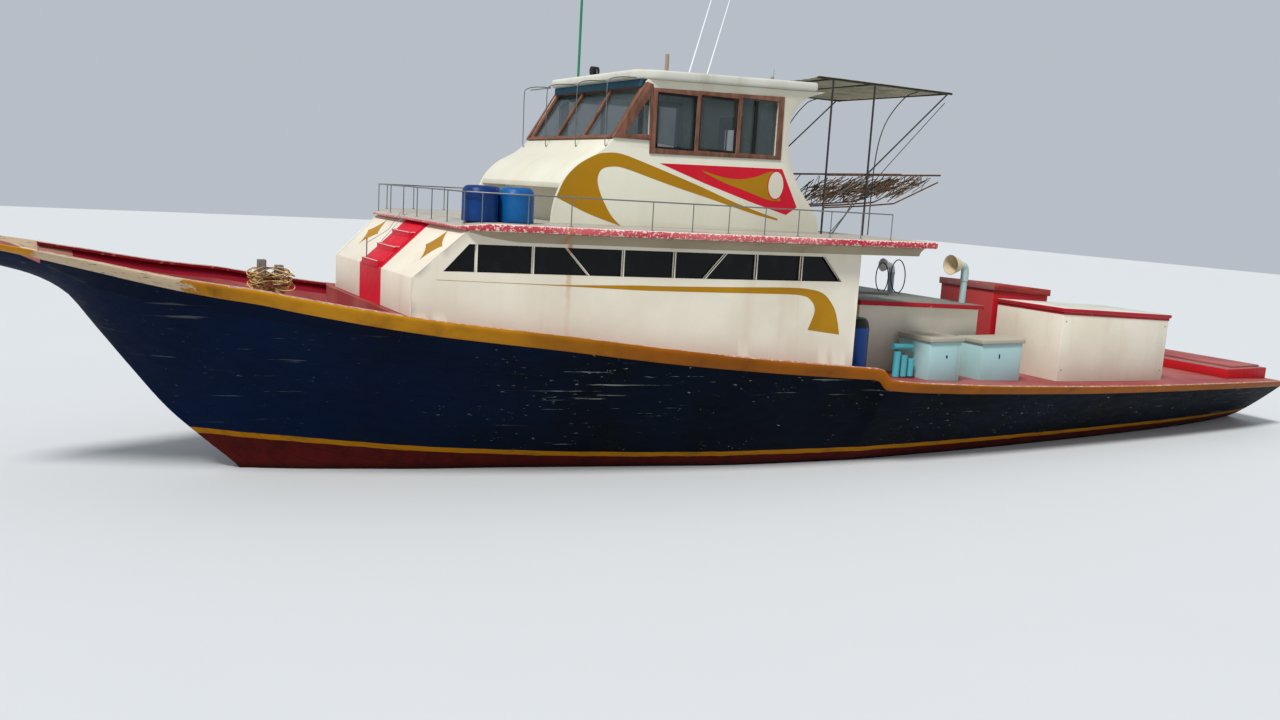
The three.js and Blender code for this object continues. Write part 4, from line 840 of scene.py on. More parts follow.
bandOut = 0.055
for side, sign in (("port", 1), ("starboard", -1)):
    bx = columnsOf(-10.995, 15.8)
    sheer, deep = line["sheer"](bx), line["band"](bx)
    low = sheer - deep
    s = np.array([-1, -0.96, -0.85, -0.5, 0, 0.5, 0.85, 0.96, 1])
    outZ = (sheer - deep / 2)[:, None] + (deep / 2)[:, None] * s
    outY = halfBeam(bx[:, None], outZ) + bandOut * (1 - np.abs(s) ** 3.2) ** 0.42
    free = (bx < hullSize["foredeck"] + 0.001)
    ledge = np.clip(np.where(free, deckHeight(bx) + 0.001, sheer - 0.04), low + 0.02, None)
    inner = np.where(free, -0.025, 0.0005)
    inZ = np.stack([sheer, ledge + 0.0005, ledge, (low + ledge) / 2, low + 0.001], 1)
    inOff = np.stack([inner, inner] + [np.full(len(bx), 0.0005)] * 3, 1)
    inY = np.maximum(halfBeam(bx[:, None], inZ) + inOff, 0.004)
    rings = sections(bx, np.hstack([outY, inY]), np.hstack([outZ, inZ]))
    wear = np.broadcast_to([0.6, 0.4, 0.1, 0, 0, 0, 0.3, 0.8, 1.0] + [0] * 5, rings.shape[:2])
    piece(f"band_{side}", loft(rings * [1, sign, 1], wear=wear), [ochre, maroonCap], smooth=50,
          replaces=f"rubbing_band_{side}", pick=lambda at, normal: (normal[:, 2] > 0.5) & (at[:, 0] < 11.5))

    wx = columnsOf(9.204, 13.6)
    top, base = line["sheer"](wx), deckHeight(wx) + 0.0003
    mid = top - 0.04
    wallZ = base[:, None] + (mid - base)[:, None] * np.linspace(0, 1, 6)
    outer = halfBeam(wx[:, None], wallZ)
    lip = halfBeam(wx, top)
    ringY = np.hstack([outer, lip[:, None], lip[:, None] - 0.19, lip[:, None] - 0.19, outer[:, ::-1] - 0.07])
    ringZ = np.hstack([wallZ, top[:, None], top[:, None], mid[:, None], wallZ[:, ::-1]])
    wear = np.broadcast_to([0] * 6 + [1, 1, 1] + [0] * 6, ringY.shape)

    def onBulwark(at, normal, sign=sign):
        # Cap, outside, foot of the inside and the rest of the inside
        inside = np.where(at[:, 2] < line["sheer"](at[:, 0]) - 0.15, 3, 0)
        return np.where(normal[:, 2] > 0.7, 1, np.where(normal[:, 1] * sign > 0.2, 2, inside))

    piece(f"bulwark_{side}", loft(sections(wx, ringY, ringZ) * [1, sign, 1], wear=wear),
          [deepRed, maroonCap, blue, deckRed], replaces=f"fore_bulwark_{side}", smooth=35, pick=onBulwark)

carry("keel", bottomRed, 0.012)
carry("rudder", ironwork, 0.006)
carry("propeller", bronze, 0.003, smooth=60)
carry("engine_block", green, 0.03)

print("cabin")
cabin = {"aft": 1.8, "front": 9.06, "thick": 0.06, "top": 3.79, "knuckle": 3.09, "brow": 8.31,
         "glassIn": 0.0663}
cabinLine = np.array([(1.8, 3.06), (4.2, 2.89), (6.6, 2.56), (9.06, 2.09)])
cabinY = easeThrough(*cabinLine.T)
strip = {"low": 3.19, "high": 3.59, "bar": 0.010}
windowBars = [(8.64, 8.29), (8.18, 8.18), (7.37, 7.37), (6.53, 6.89), (6.01, 6.01), (5.19, 5.19),
              (4.68, 4.33), (3.78, 3.78), (2.94, 2.94), (2.14, 2.50)]


def cabinTop(x):
    # Level as far as the brow, then a straight fall to the knuckle of the front.
    fall = (cabin["top"] - cabin["knuckle"]) / (cabin["front"] - cabin["brow"])
    return cabin["top"] - np.maximum(np.asarray(x, float) - cabin["brow"], 0) * fall


def wallGrid(xs, zs, inward):
    # Points of the cabin's side at some depth inside its outer face. The rows go from zs[0] to zs[1].
    low, high = zs
    share = np.linspace(0, 1, 7)
    z = low[:, None] + (high - low)[:, None] * share
    return sections(xs, cabinY(xs)[:, None] - inward + 0 * z, z)


def windowHoles():
    # Between each two bars a four-cornered hole, which leans as the bars beside it lean.
    holes = []
    for k, (fore, aft) in enumerate(zip(windowBars[:-1], windowBars[1:])):
        gap = strip["bar"] if k else 0.0
        holes.append([(fore[0] - gap, strip["low"]), (aft[0] + strip["bar"], strip["low"]),
                      (aft[1] + strip["bar"], strip["high"]), (fore[1] - gap, strip["high"])])
    return holes


def grown(outline, by):
    # Each corner of a convex outline moved away from the middle along both its edges' normals.
    p = np.asarray(outline, float)
    edge = np.roll(p, -1, 0) - p
    normal = np.stack([edge[:, 1], -edge[:, 0]], 1) / np.linalg.norm(edge, axis=1, keepdims=True)
    normal *= np.sign(np.einsum("ij,ij->i", normal, p - p.mean(0)).sum())
    before = np.roll(normal, 1, 0)
    return p + (normal + before) * (by / (1 + (normal * before).sum(1, keepdims=True)))


wx = columnsOf(cabin["aft"], cabin["front"], 0.09)
wallBand = (deckHeight(wx) + 0.001, cabinTop(wx) - 0.001)
wallShape = slab(wallGrid(wx, wallBand, 0.0), wallGrid(wx, wallBand, cabin["thick"]))
cuts = [plate(hole, 1.8, 3.3) for hole in windowHoles()]
gx = np.linspace(2.1, 8.68, 60)
glassBand = (np.full(60, 3.15), np.minimum(3.63, cabinTop(gx) - cabin["thick"]))
glassShape = slab(wallGrid(gx, glassBand, cabin["glassIn"]),
                  wallGrid(gx, glassBand, cabin["glassIn"] + 0.006))

upperEdge = np.array([(0.44, 3.395), (1.8, 3.33), (3.2, 3.24), (5.0, 3.07), (6.55, 2.84), (8.0, 2.56),
                      (8.2, 2.49), (8.32, 2.37), (8.39, 2.23), (8.42, 2.10)])


def upperY(x):
    # The upper deck's half width: straight lines between the points of its edge.
    return np.interp(x, upperEdge[:, 0], upperEdge[:, 1])


# The coving rounds out from the wall to the upper deck, narrows to nothing forward and thins aft of the wall.
coving = {"aft": 0.52, "wall": 1.83, "straight": 7.6, "fore": 8.29, "low": 3.64, "high": 3.788}
noseLong = coving["fore"] - coving["straight"]
cx = np.concatenate([np.linspace(coving["aft"], coving["wall"], 14)[:-1],
                     np.linspace(coving["wall"], coving["straight"], 60),
                     coving["fore"] - noseLong * np.linspace(1, 0, 14)[1:] ** 2])
nose = np.clip((coving["fore"] - cx) / noseLong, 0.0, 1.0) ** 0.5
bend = np.linspace(0, 1, 9)
inner = cabinY(np.maximum(cx, coving["wall"])) + 0.0006
thinning = 0.55 + 0.45 * np.clip((cx - coving["aft"]) / 0.3, 0, 1)
reach = (upperY(cx) - 0.012 - inner) * np.maximum(nose, 0.06) * thinning
coveY = inner[:, None] + reach[:, None] * (1 - np.cos(bend * np.pi / 2)) ** 0.9
coveDeep = (coving["high"] - coving["low"]) * np.maximum(nose, 0.25)
coveZ = coving["high"] - coveDeep[:, None] * (1 - np.sin(bend * np.pi / 2)) ** 0.9
lipY, lipZ = coveY[:, -1:], np.full((len(cx), 1), 3.7885)
coveRings = sections(cx, np.hstack([coveY, lipY, inner[:, None]]), np.hstack([coveZ, lipZ, lipZ]))

hook = {
    "upper": flow([(8.73, 3.072), (7.81, 3.057), (6.88, 3.048), (5.77, 3.068), (5.4, 3.066), (4.34, 3.073),
                   (3.18, 3.083), (2.72, 3.055), (2.46, 2.976), (2.26, 2.768), (2.17, 2.558), (2.11, 2.32)]),
    "lower": flow([(8.73, 3.066), (7.81, 3.05), (6.88, 3.03), (5.77, 2.996), (5.4, 2.992), (4.34, 2.985),
                   (3.17, 2.976), (2.86, 2.95), (2.74, 2.895), (2.65, 2.792), (2.64, 2.662), (2.74, 2.4)]),
}


def paintedOn(surface, upper, lower, out=0.0015, rows=3):
    # A coat between two curves on a wall: surface gives y at x, and the coat stands a little out of it.
    share = np.linspace(0, 1, rows)[None, :, None]
    flat = upper[:, None] * (1 - share) + lower[:, None] * share
    y = surface(flat[..., 0])
    skin = np.stack([flat[..., 0], y + out, flat[..., 1]], 2)
    return slab(skin, skin - [0, out + 0.001, 0])


for side, turnOver in bothSides:
    piece(f"cabin_side_{side}_finished", turnOver(wallShape), cream, replaces=f"cabin_side_{side}",
          bevel=0.004, cut=[turnOver(cut) for cut in cuts])
    piece(f"coving_{side}", turnOver(loft(coveRings)), coveShade, smooth=50)
    piece(f"cabin_glass_{side}_finished", turnOver(glassShape), darkGlass, replaces=f"cabin_glass_{side}")
    piece(f"gold_hook_{side}", turnOver(paintedOn(cabinY, hook["upper"], hook["lower"])), gold)

carry("cabin_front", cream, 0.006)
carry("cabin_brow", cream, 0.006)
carry("cabin_aft_wall", cream, 0.006)
carry("cabin_door", timberDark, 0.004)

print("cabin front")
slope = {"foot": np.array([9.055, 0.0, 3.0874]), "top": np.array([8.31, 0.0, 3.786])}
slopeLength = float(np.linalg.norm(slope["top"] - slope["foot"]))
uphill = (slope["top"] - slope["foot"]) / slopeLength
offSlope = np.cross((0, 1, 0), uphill)
onSlope = {"origin": slope["foot"], "across": (0, 1, 0), "up": uphill, "normal": offSlope}
stripe = {"half": 0.58, "boardHalf": 0.47, "boardFrom": 0.02, "boardTo": slopeLength - 0.03, "board": 0.014}


def oblong(half, low, high):
    # Four corners, as far to one side of the middle as to the other.
    return [(-half, low), (half, low), (half, high), (-half, high)]


stripeDown = plate(oblong(stripe["half"], float(deckHeight(9.06)) + 0.002, 3.086), -0.001, 0.0015,
                   origin=(cabin["front"], 0, 0), across=(0, 1, 0), normal=(1, 0, 0))
piece("red_stripe_on_front", stripeDown, bright)

starMiddle = np.array([1.61, 0.64])
starTips = np.array([(1.545, 0.962), (1.951, 0.65), (1.671, 0.316), (1.275, 0.612)]) - starMiddle
quarterTurn = np.linspace(0, np.pi / 2, 9)[:-1, None]
starOutline = np.vstack([a * np.cos(quarterTurn) ** 2.7 + b * np.sin(quarterTurn) ** 2.7
                         for a, b in zip(starTips, np.roll(starTips, -1, 0))])
for side, sign, middle in (("port", 1, 1.61), ("starboard", -1, 1.50)):
    outline = (starOutline + (middle, starMiddle[1])) * (sign, 1)
    piece(f"gold_star_{side}", plate(outline, -0.001, 0.0015, **onSlope), gold)
stripeUp = plate(oblong(stripe["half"], 0.0, slopeLength - 0.005), -0.001, 0.0015, **onSlope)
piece("red_stripe_on_slope", stripeUp, bright)

step = {"half": 0.44, "at": (0.075, 0.405, 0.735), "deep": 0.070, "thick": 0.030}
fallAlong = (slope["top"][2] - slope["foot"][2]) / (slope["foot"][0] - slope["top"][0])
boardOutline = oblong(stripe["boardHalf"], stripe["boardFrom"], stripe["boardTo"])
steps, nosings = [plate(boardOutline, 0.001, stripe["board"], **onSlope)], []
for along in step["at"]:
    x, _, z = slope["foot"] + uphill * along
    high, out = z + step["thick"] + 0.01, x + step["deep"]
    back = x - (high - z) / fallAlong
    section = [(back, high), (out, high), (out, z - step["deep"] * fallAlong), (x, z)]
    steps.append(loft(np.array([[(px, y, pz) for px, pz in section] for y in (-step["half"], step["half"])])))
    rim = [(px, y * step["half"], high) for px, y in ((back, -1), (out, -1), (out, 1), (back, 1))]
    nosings.append(rod(flow(rim, 3, corners=(1, 2)), 0.010, 6))
piece("front_steps_finished", together(*steps), bright, replaces="front_steps", bevel=0.004)
piece("step_nosings", together(*nosings), stepEdge, smooth=60)

foot = slope["foot"] + uphill * 0.09
handWires = [rod([foot + [0, -0.46, -0.01], foot + [0, -0.46, 0.15], foot + [0, -0.46, 0.33]], 0.009)]
outer = [foot + [0, -0.46, 0.25], foot * 0.5 + [4.2, -0.30, 2.05], (8.38, -0.66, 3.9)]
middle = slope["foot"] + uphill * 0.42
inboard = [middle + [0.05, -0.42, 0.02], middle * 0.5 + [4.22, -0.22, 2.03], (8.38, -0.34, 3.9)]
handWires += [rod(outer, 0.004, 6), rod(inboard, 0.004, 6)]
piece("front_hand_wires", together(*handWires), steel, smooth=60)

print("upper deck")
ux = np.concatenate([[0.44, 0.443, 0.449, 0.46], np.linspace(0.55, 8.19, 88),
                     [8.24, 8.28, 8.32, 8.35, 8.38, 8.40, 8.411, 8.42]])
pinch = np.concatenate([[0.012, 0.006, 0.002, 0], np.zeros(88), np.zeros(5), [0.002, 0.006, 0.012]])
noseA = np.linspace(-np.pi / 2, np.pi / 2, 9)
half = upperY(ux)
under, edgeRound = 3.7903, 0.03
over = 3.9 - 0.056 * np.clip((ux - 8.06) / 0.34, 0, 1) ** 1.3
edgeY = half[:, None] - edgeRound - pinch[:, None] + edgeRound * np.cos(noseA) ** 0.7
tall = (over - under) / 2 - pinch
edgeZ = ((under + over) / 2)[:, None] + tall[:, None] * squared(noseA, 0.6)
flatY = (half - edgeRound)[:, None] * np.linspace(1, -1, 9)[1:-1]
deckRings = sections(ux, np.hstack([edgeY, flatY, -edgeY[:, ::-1], flatY[:, ::-1]]),
                     np.hstack([edgeZ, edgeZ[:, -1:] + 0 * flatY, edgeZ[:, ::-1], edgeZ[:, :1] + 0 * flatY]))
portWear = [0.3, 0.6, 0.4, 0.1, 0.1, 0.2, 0.5, 1, 1]
starboardWear = [1, 1, 0.5, 0.2, 0.1, 0.1, 0.4, 0.6, 0.3]
edgeWear = portWear + [0] * 7 + starboardWear + [0] * 7
piece("upper_deck_finished", loft(deckRings, wear=edgeWear), [deckGrey, worn], replaces="upper_deck",
      smooth=60, pick=lambda at, normal: normal[:, 2] < 0.8)

onDeck = 3.9003  # where things stand on the upper deck
rail = {"top": 4.32, "r": 0.010, "inset": 0.07}
railX = [1.4, 2.01, 2.61, 3.22, 3.82, 4.45, 5.06, 5.70, 6.93, 7.55]
portPosts = [(x, float(upperY(x)) - rail["inset"]) for x in railX] + [(8.13, 2.28), (8.33, 2.10)]
frontPosts = [(8.33, 1.4), (8.33, 0.7), (8.33, 0.0)]
railLine = np.array(portPosts + frontPosts + [(x, -y) for x, y in reversed(portPosts + frontPosts[:-1])])
topRail = flow(np.column_stack([railLine, np.full(len(railLine), rail["top"])]), 6, corners=(10, 11, 17, 18))
railParts = [rod(topRail, rail["r"])]
for x, y in railLine:
    foot = onDeck - (0.048 if x > 8.2 else 0.012 if x > 8 else 0)
    railParts.append(rod([(x, y, foot), (x, y, foot + 0.2), (x, y, rail["top"])], 0.008))
    railParts.append(turned(x, y, [(0.026, foot), (0.026, foot + 0.006), (0.011, foot + 0.016)], 16))
piece("railing", together(*railParts), steel, replaces="upper_deck_railing", smooth=60)

print("wheelhouse")
house = {"half": 1.65, "thick": 0.055, "rise": 0.033, "top": 6.2, "coat": 0.0015, "trim": 0.018}


def riseAt(x):
    # The wheelhouse's top climbs aft by an even share of the distance.
    return house["rise"] * (5.1 - x)


foreEdge = [(6.76, onDeck), (6.75, 4.06), (6.70, 4.30), (6.57, 4.59), (6.35, 4.82), (6.06, 4.985),
            (5.89, 5.105), (5.76, 5.25)]
aftEdge = [(1.69, house["top"] + riseAt(1.69)), (2.06, 6.19), (2.27, 6.01), (2.39, 5.75), (2.40, 5.46),
           (2.32, 5.08), (2.14, 4.73), (1.93, 4.48), (1.72, 4.24), (1.625, 4.06), (1.61, onDeck)]
houseSide = np.vstack([flow(foreEdge, 5), [(5.2, 6.2)], flow(aftEdge, 5)])
sideWindow = {"x0": 2.60, "x1": 5.08, "low": 5.07, "high": 6.08, "frame": 0.050, "bar": 0.040}
paneWide = (sideWindow["x1"] - sideWindow["x0"] - 2 * sideWindow["frame"] - 2 * sideWindow["bar"]) / 3
panes = []
for i in range(3):
    x0 = sideWindow["x0"] + sideWindow["frame"] + i * (paneWide + sideWindow["bar"])
    low = sideWindow["low"] + sideWindow["frame"] + riseAt(x0) * 0.6
    high = sideWindow["high"] - sideWindow["frame"] + riseAt(x0 + paneWide)
    panes.append([(x0, low), (x0 + paneWide, low), (x0 + paneWide, high), (x0, high)])
quarter = [(5.60, 5.32), (5.125, 5.34), (5.14, 5.985)]
windowTrim = [(5.115, 5.06), (5.125, 6.075), (2.555, 6.16), (2.545, 5.118)]
quarterTrim = [(5.765, 5.262), (5.10, 5.262), (5.11, 6.125), (5.205, 6.15)]

swooshOuter = flow([(5.57, 3.905), (6.14, 4.075), (6.695, 4.3), (6.562, 4.585), (6.345, 4.812), (6.06, 4.975),
                    (5.87, 5.022), (5.6, 5.02), (5.14, 4.9), (4.63, 4.75), (4.07, 4.58), (3.49, 4.39),
                    (2.96, 4.24), (2.51, 4.13)], 5, corners=(2,))
swooshInner = flow([(5.56, 3.906), (5.74, 4.07), (5.91, 4.33), (6.0, 4.56), (5.98, 4.71), (5.89, 4.79),
                    (5.68, 4.82), (5.44, 4.78), (4.98, 4.66), (4.54, 4.55), (4.06, 4.44), (3.48, 4.3),
                    (2.96, 4.18), (2.51, 4.1)], 5)
triangle = np.vstack([[(4.91, 4.92), (2.49, 4.97), (2.12, 4.34), (2.34, 4.2)],
                      flow([(3.1, 4.39), (4.04, 4.65)], 4)])
flash = np.vstack([
    flow([(4.09, 4.85), (3.71, 4.77), (3.36, 4.75), (3.02, 4.81), (2.78, 4.90), (2.55, 4.93)], 5),
    flow([(2.48, 4.43), (2.72, 4.435), (2.95, 4.49), (3.27, 4.58), (3.66, 4.68), (4.05, 4.82)], 5),
])
turn = anglesRound(40)
unitCircle = np.stack([np.cos(turn), np.sin(turn)], 1)


def oval(x, z, across, up):
    # The unit circle stretched across and up, with its middle at x, z.
    return unitCircle * (across, up) + (x, z)


def onWall(outline, layer, thick=None):
    # A coat of paint on the wheelhouse's side, in the given layer, or a board of the given thickness.
    low = house["half"] + layer * house["coat"]
    return plate(outline, low - 0.0006, low + (house["coat"] if thick is None else thick))


for side, turnOver in bothSides:
    holes = [turnOver(plate(hole, 1.5, 1.7)) for hole in [*panes, quarter]]
    wall = plate(houseSide, house["half"] - house["thick"], house["half"])
    piece(f"wheelhouse_side_{side}_finished", turnOver(wall), creamHouse, replaces=f"wheelhouse_side_{side}",
          bevel=0.006, cut=holes)
    piece(f"gold_swoosh_{side}", turnOver(onWall(np.vstack([swooshOuter, swooshInner[::-1]]), 0)), gold)
    piece(f"red_triangle_{side}", turnOver(onWall(triangle, 0)), bright)
    piece(f"gold_flash_{side}", turnOver(onWall(flash, 1)), gold)
    piece(f"red_ring_{side}", turnOver(onWall(oval(2.60, 4.69, 0.175, 0.245), 2)), bright)
    piece(f"white_oval_{side}", turnOver(onWall(oval(2.60, 4.69, 0.155, 0.225), 3)), creamHouse)
    trimHoles = [turnOver(plate(grown(hole, -0.012), 1.6, 1.7)) for hole in panes]
    piece(f"side_window_trim_{side}", turnOver(onWall(windowTrim, 0, house["trim"])), timber, bevel=0.004,
          cut=trimHoles)
    piece(f"quarter_window_trim_{side}", turnOver(onWall(quarterTrim, 0, house["trim"] + 0.006)), timber,
          bevel=0.004, cut=[turnOver(plate(grown(quarter, -0.012), 1.6, 1.7))])
    for i, inset in ((1, 0.05), (2, 0.045)):
        ring = plate(grown(panes[i], -0.006), 1.612, 1.636)
        piece(f"sliding_frame_{i}_{side}", turnOver(ring), black, bevel=0.003,
              cut=[turnOver(plate(grown(panes[i], -inset), 1.5, 1.7))])
    mid = (panes[0][0][0] + panes[0][1][0]) / 2 + 0.06
    bar = block((mid - 0.03, 1.612, panes[0][0][1]), (mid + 0.03, 1.636, 6.05), 0.004)
    piece(f"sliding_bar_{side}", turnOver(bar), black)
    carry(f"wheelhouse_glass_{side}", clearGlass, 0)

carry("wheelhouse_front", creamHouse, 0.005)
pillar = ((0.004, 1.60, 0), (0.022, 1.60, 0.004), (0.022, 1.673, 0.004), (0.004, 1.673, 0))
rake = [[(x + dx, y, z + dz) for dx, y, dz in pillar] for x, z in ((5.762, 5.262), (5.205, 6.15))]
for side, turnOver in bothSides:
    piece(f"corner_pillar_{side}", turnOver(loft(rake)), timber)
carry("windscreen_frame", timber, 0.006)
carry("windscreen_glass", clearGlass, 0)
carry("wheelhouse_aft_wall", creamHouse, 0.005)
carry("wheelhouse_door", timberDark, 0.004)
carry("helm_console", timberDark, 0.012)
carry("helm_wheel", timber, 0.002, smooth=60)
carry("helm_seat", black, 0.02)

roof = {"half": 1.73, "thick": 0.148, "round": 0.05}


def roofLow(x):
    # The underside of the roof, a hair above the top of the walls.
    return house["top"] + riseAt(x) + 0.0033


rx = np.concatenate([[1.90, 1.903, 1.913, 1.94], np.linspace(2.0, 5.3, 34), [5.37, 5.405, 5.417, 5.42]])
pinch = np.concatenate([[0.050, 0.034, 0.014, 0], np.zeros(34), [0, 0.014, 0.034, 0.050]])
bow = np.linspace(-np.pi / 2, np.pi / 2, 11)
ragged = 0.004 * np.sin(rx * 9.1) + 0.003 * np.sin(rx * 23.7 + 1)
corner = 0.24 * np.clip((rx - 5.0) / 0.42, 0, 1) ** 2
roofHalf = roof["half"] - 0.008 - roof["round"] + ragged - pinch * 0.6 - corner
roofY = roofHalf[:, None] + roof["round"] * np.cos(bow) ** 0.7
tall = roof["thick"] / 2 - 0.002 - pinch
roofZ = (roofLow(rx) + roof["thick"] / 2)[:, None] + tall[:, None] * squared(bow, 0.55)
topY = (roof["half"] - roof["round"] - 0.02) * np.linspace(1, -1, 9)[1:-1] + 0 * rx[:, None]
roofRings = sections(rx, np.hstack([roofY, topY, -roofY[:, ::-1], topY[:, ::-1]]),
                     np.hstack([roofZ, roofZ[:, -1:] + 0 * topY, roofZ[:, ::-1], roofZ[:, :1] + 0 * topY]))
roofWear = [0.2] * 11 + [0] * 7 + [0.2] * 11 + [0] * 7
piece("wheelhouse_roof_finished", loft(roofRings, wear=roofWear), creamRoof, replaces="wheelhouse_roof",
      smooth=60)
piece("brow_board", block((5.262, -1.60, 6.085), (5.290, 1.60, 6.200), 0.004), brow)
sill = [[(5.735, y, 5.262), (5.80, y, 5.245), (5.815, y, 5.262), (5.75, y, 5.292)] for y in (-1.592, 1.592)]
piece("windscreen_sill", loft(sill), timber)

stays = []
stayBend = ((5.40, 6.206), (5.70, 6.185), (5.87, 6.13), (5.905, 6.03), (5.90, 5.6), (5.895, 5.17),
            (5.87, 5.13), (5.845, 5.15))
for y in (-1.55, -0.58, 0.58, 1.62):
    stays.append(rod(flow([(x, y, z) for x, z in stayBend], 4), 0.008, 8))
stays.append(rod([(5.38, -1.6, 6.20), (5.45, -1.9, 6.19), (5.5, -2.2, 6.18)], 0.010, 8))
piece("brow_stays", together(*stays), steel, smooth=60)

print("upper deck gear")
carry("signal_pole", green, 0)
carry("lamp_bracket", steel, 0.002)
carry("floodlight", black, 0.006, smooth=50)
for name, x, y, low, high, cap, r, top in (("roof_post", 4.75, 1.42, 6.325, 6.64, 6.57, 0.032, turquoise),
                                           ("aft_roof_post", 2.62, 1.35, 6.39, 6.63, 6.5, 0.028, pipeCyan)):
    piece(name, rod([(x, y, low), (x, y, 6.5), (x, y, high)], r, 14), [postTan, top], smooth=60,
          pick=lambda at, normal, cap=cap: at[:, 2] > cap)
whips = []
for x, y in ((3.68, 0.3), (2.95, -0.3)):
    whips.append(rod([(x, y, 6.36), (x - 0.31, y, 7.46), (x - 0.60, y, 8.5)], [0.016, 0.011, 0.006], 8))
piece("whip_antennas", together(*whips), whipWhite, smooth=60)


def drumShape(x, y, radius, low, high):
    # A blow-moulded drum: straight sides, rounded shoulders, a flat head and two bungs.
    tallness = high - low
    side = [(0.90, 0.0), (0.96, 0.010), (0.99, 0.035), (0.995, 0.06), (0.985, 0.30), (0.985, 0.55),
            (0.985, 0.76), (1.0, 0.78), (1.0, 0.81), (0.975, 0.83), (0.955, 0.87), (0.90, 0.925),
            (0.82, 0.965), (0.74, 0.985), (0.66, 0.992), (0.30, 0.985)]
    body = turned(x, y, [(radius * r, low + tallness * h) for r, h in side], 56)
    head = low + tallness * 0.978
    bung = [(0.035, head), (0.035, head + 0.008), (0.026, head + 0.010)]
    bungs = [turned(x + radius * dx, y, bung, 20) for dx in (-0.4, 0.4)]
    return together(body, *bungs)


# The middle drum takes the lighter copy of the plastic: painted sunlight.
for name, x, y, look in (("drum_fore", 8.03, 1.93, drumBlue), ("drum_mid", 7.48, 1.96, drumSunlit),
                         ("drum_inner", 7.77, 1.41, drumBlue)):
    piece(f"{name}_finished", drumShape(x, y, 0.266, onDeck, 4.42), look, replaces=name, smooth=35)
barrelLow = float(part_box("deck_barrel")[0][2])
piece("deck_barrel_finished", drumShape(1.49, 2.65, 0.28, barrelLow, 2.56), [barrelBlue, black],
      replaces="deck_barrel", smooth=35, pick=lambda at, normal: at[:, 2] > 2.40)

carry("canopy_frame", steelDark, 0, smooth=60)
canopy = {"x0": -1.3, "x1": 1.83, "half": 1.64, "top": 6.5795, "sag": 0.045, "thick": 0.004}
sheetX = np.linspace(canopy["x0"], canopy["x1"], 90)[:, None]
sheetY = np.linspace(-canopy["half"], canopy["half"], 70)[None, :]
held = np.minimum.reduce([np.abs(sheetX - at) for at in (-1.24, 0.56, 1.50)])
fromSide = 1.6 - np.abs(sheetY)
slackness = (1 - np.exp(-held * 7)) * (1 - np.exp(-np.clip(fromSide, 0, None) * 5))
creases = 0.004 * np.sin(sheetY * 31 + 3 * np.sin(sheetX * 2.1)) + 0.003 * np.sin(sheetX * 17 + sheetY * 5)
sheetZ = canopy["top"] - slackness * (canopy["sag"] + creases)
sheetTop = sections(sheetX[:, 0], np.broadcast_to(sheetY, sheetZ.shape), sheetZ + canopy["thick"])
sheet = piece("canopy_cloth", slab(sheetTop, sheetTop - [0, 0, canopy["thick"]]), canvas,
              replaces="canopy_sheet", smooth=60)

rackTop = easeThrough([-1.25, 0.1, 1.45], [5.07, 5.0, 4.93])
rackLow = easeThrough([-1.25, -0.16, 1.45], [4.98, 4.52, 4.38])


def inRack(x, share):
    # The height a share of the way from the rack's floor to its top
    return rackLow(x) + (rackTop(x) - rackLow(x)) * share


rackParts = [rod([(x, y, float(rackTop(x))) for x in (1.45, 0.1, -1.25)], 0.016, 8) for y in (0.5, 1.56)]
for y in (0.5, 1.0, 1.56):
    rackParts.append(rod([(x, y, float(rackLow(x)) - 0.02) for x in (1.45, 0.6, -0.16, -1.2)], 0.014, 8))
rng = np.random.default_rng(5)
sticks = {"brown": [], "grey": []}
for k in range(210):
    x0 = rng.uniform(-1.2, 1.25)
    x1 = np.clip(x0 + rng.uniform(0.15, 0.9), -1.2, 1.42)
    y = rng.uniform(0.52, 1.54)
    a = np.array([x0, y, inRack(x0, rng.uniform(0.35, 1.0))])
    b = np.array([x1, np.clip(y + rng.uniform(-0.2, 0.2), 0.5, 1.56), inRack(x1, rng.uniform(0.0, 0.6))])
    bend = (a + b) / 2 + rng.normal(0, 0.015, 3)
    sticks["grey" if rng.uniform() < 0.4 else "brown"].append(rod([a, bend, b], rng.uniform(0.005, 0.011), 5))
piece("pole_rack", together(*rackParts, *sticks["brown"]), timberDark, smooth=60)
piece("rack_sticks", together(*sticks["grey"]), stickGrey, smooth=60)
stayRods = [rod([(1.26, y, 3.905), (0.95, y, 4.3), (0.575, y, 4.98)], 0.012, 8) for y in (-1.6, 1.6)]
for y in (-1.45, 1.45):
    bentUp = flow([(0.30, y, 3.905), (0.28, y, 5.2), (0.12, y, 5.9), (-0.28, y, 6.4), (-0.6, y, 6.55)], 5)
    stayRods.append(rod(bentUp, 0.010, 8))
stayRods.append(rod([(1.26, 1.52, 3.905), (0.0, 1.52, 5.2), (-1.22, 1.52, 6.4)], 0.008, 6))
piece("canopy_struts", together(*stayRods), steelDark, smooth=60)

print("foredeck")
carry("bow_bitts", bittWood, 0.012)
windings = []
for x, low, turns in ((10.69, 2.62, 7), (10.44, 2.62, 5)):
    a = np.linspace(0, 2 * np.pi * turns, turns * 20)
    reach = 0.073 + 0.012 * np.sin(a * 0.5) ** 2
    square = 1 / np.maximum(np.abs(np.cos(a)), np.abs(np.sin(a))) ** 0.5
    climb = low + 0.021 * a / (2 * np.pi)
    run = np.stack([x + reach * square * np.cos(a), reach * square * np.sin(a), climb], 1)
    windings.append(rope(run, 0.011))
for k in range(15):
    a = anglesRound(48) + k
    lift = 2.70 + 0.020 * k + 0.05 * np.sin(a * 2 + k * 1.3)
    spread = 0.085 + 0.012 * (k * 5 % 11)
    across = spread * 1.25 * np.sin(2 * a + 0.4 * np.sin(k))
    run = np.stack([10.565 + (0.125 + spread) * np.cos(a), across, lift], 1)
    windings.append(rope(run, 0.011))
piece("bitt_rope_turns", together(*windings), hemp, smooth=60)

print("after deck")


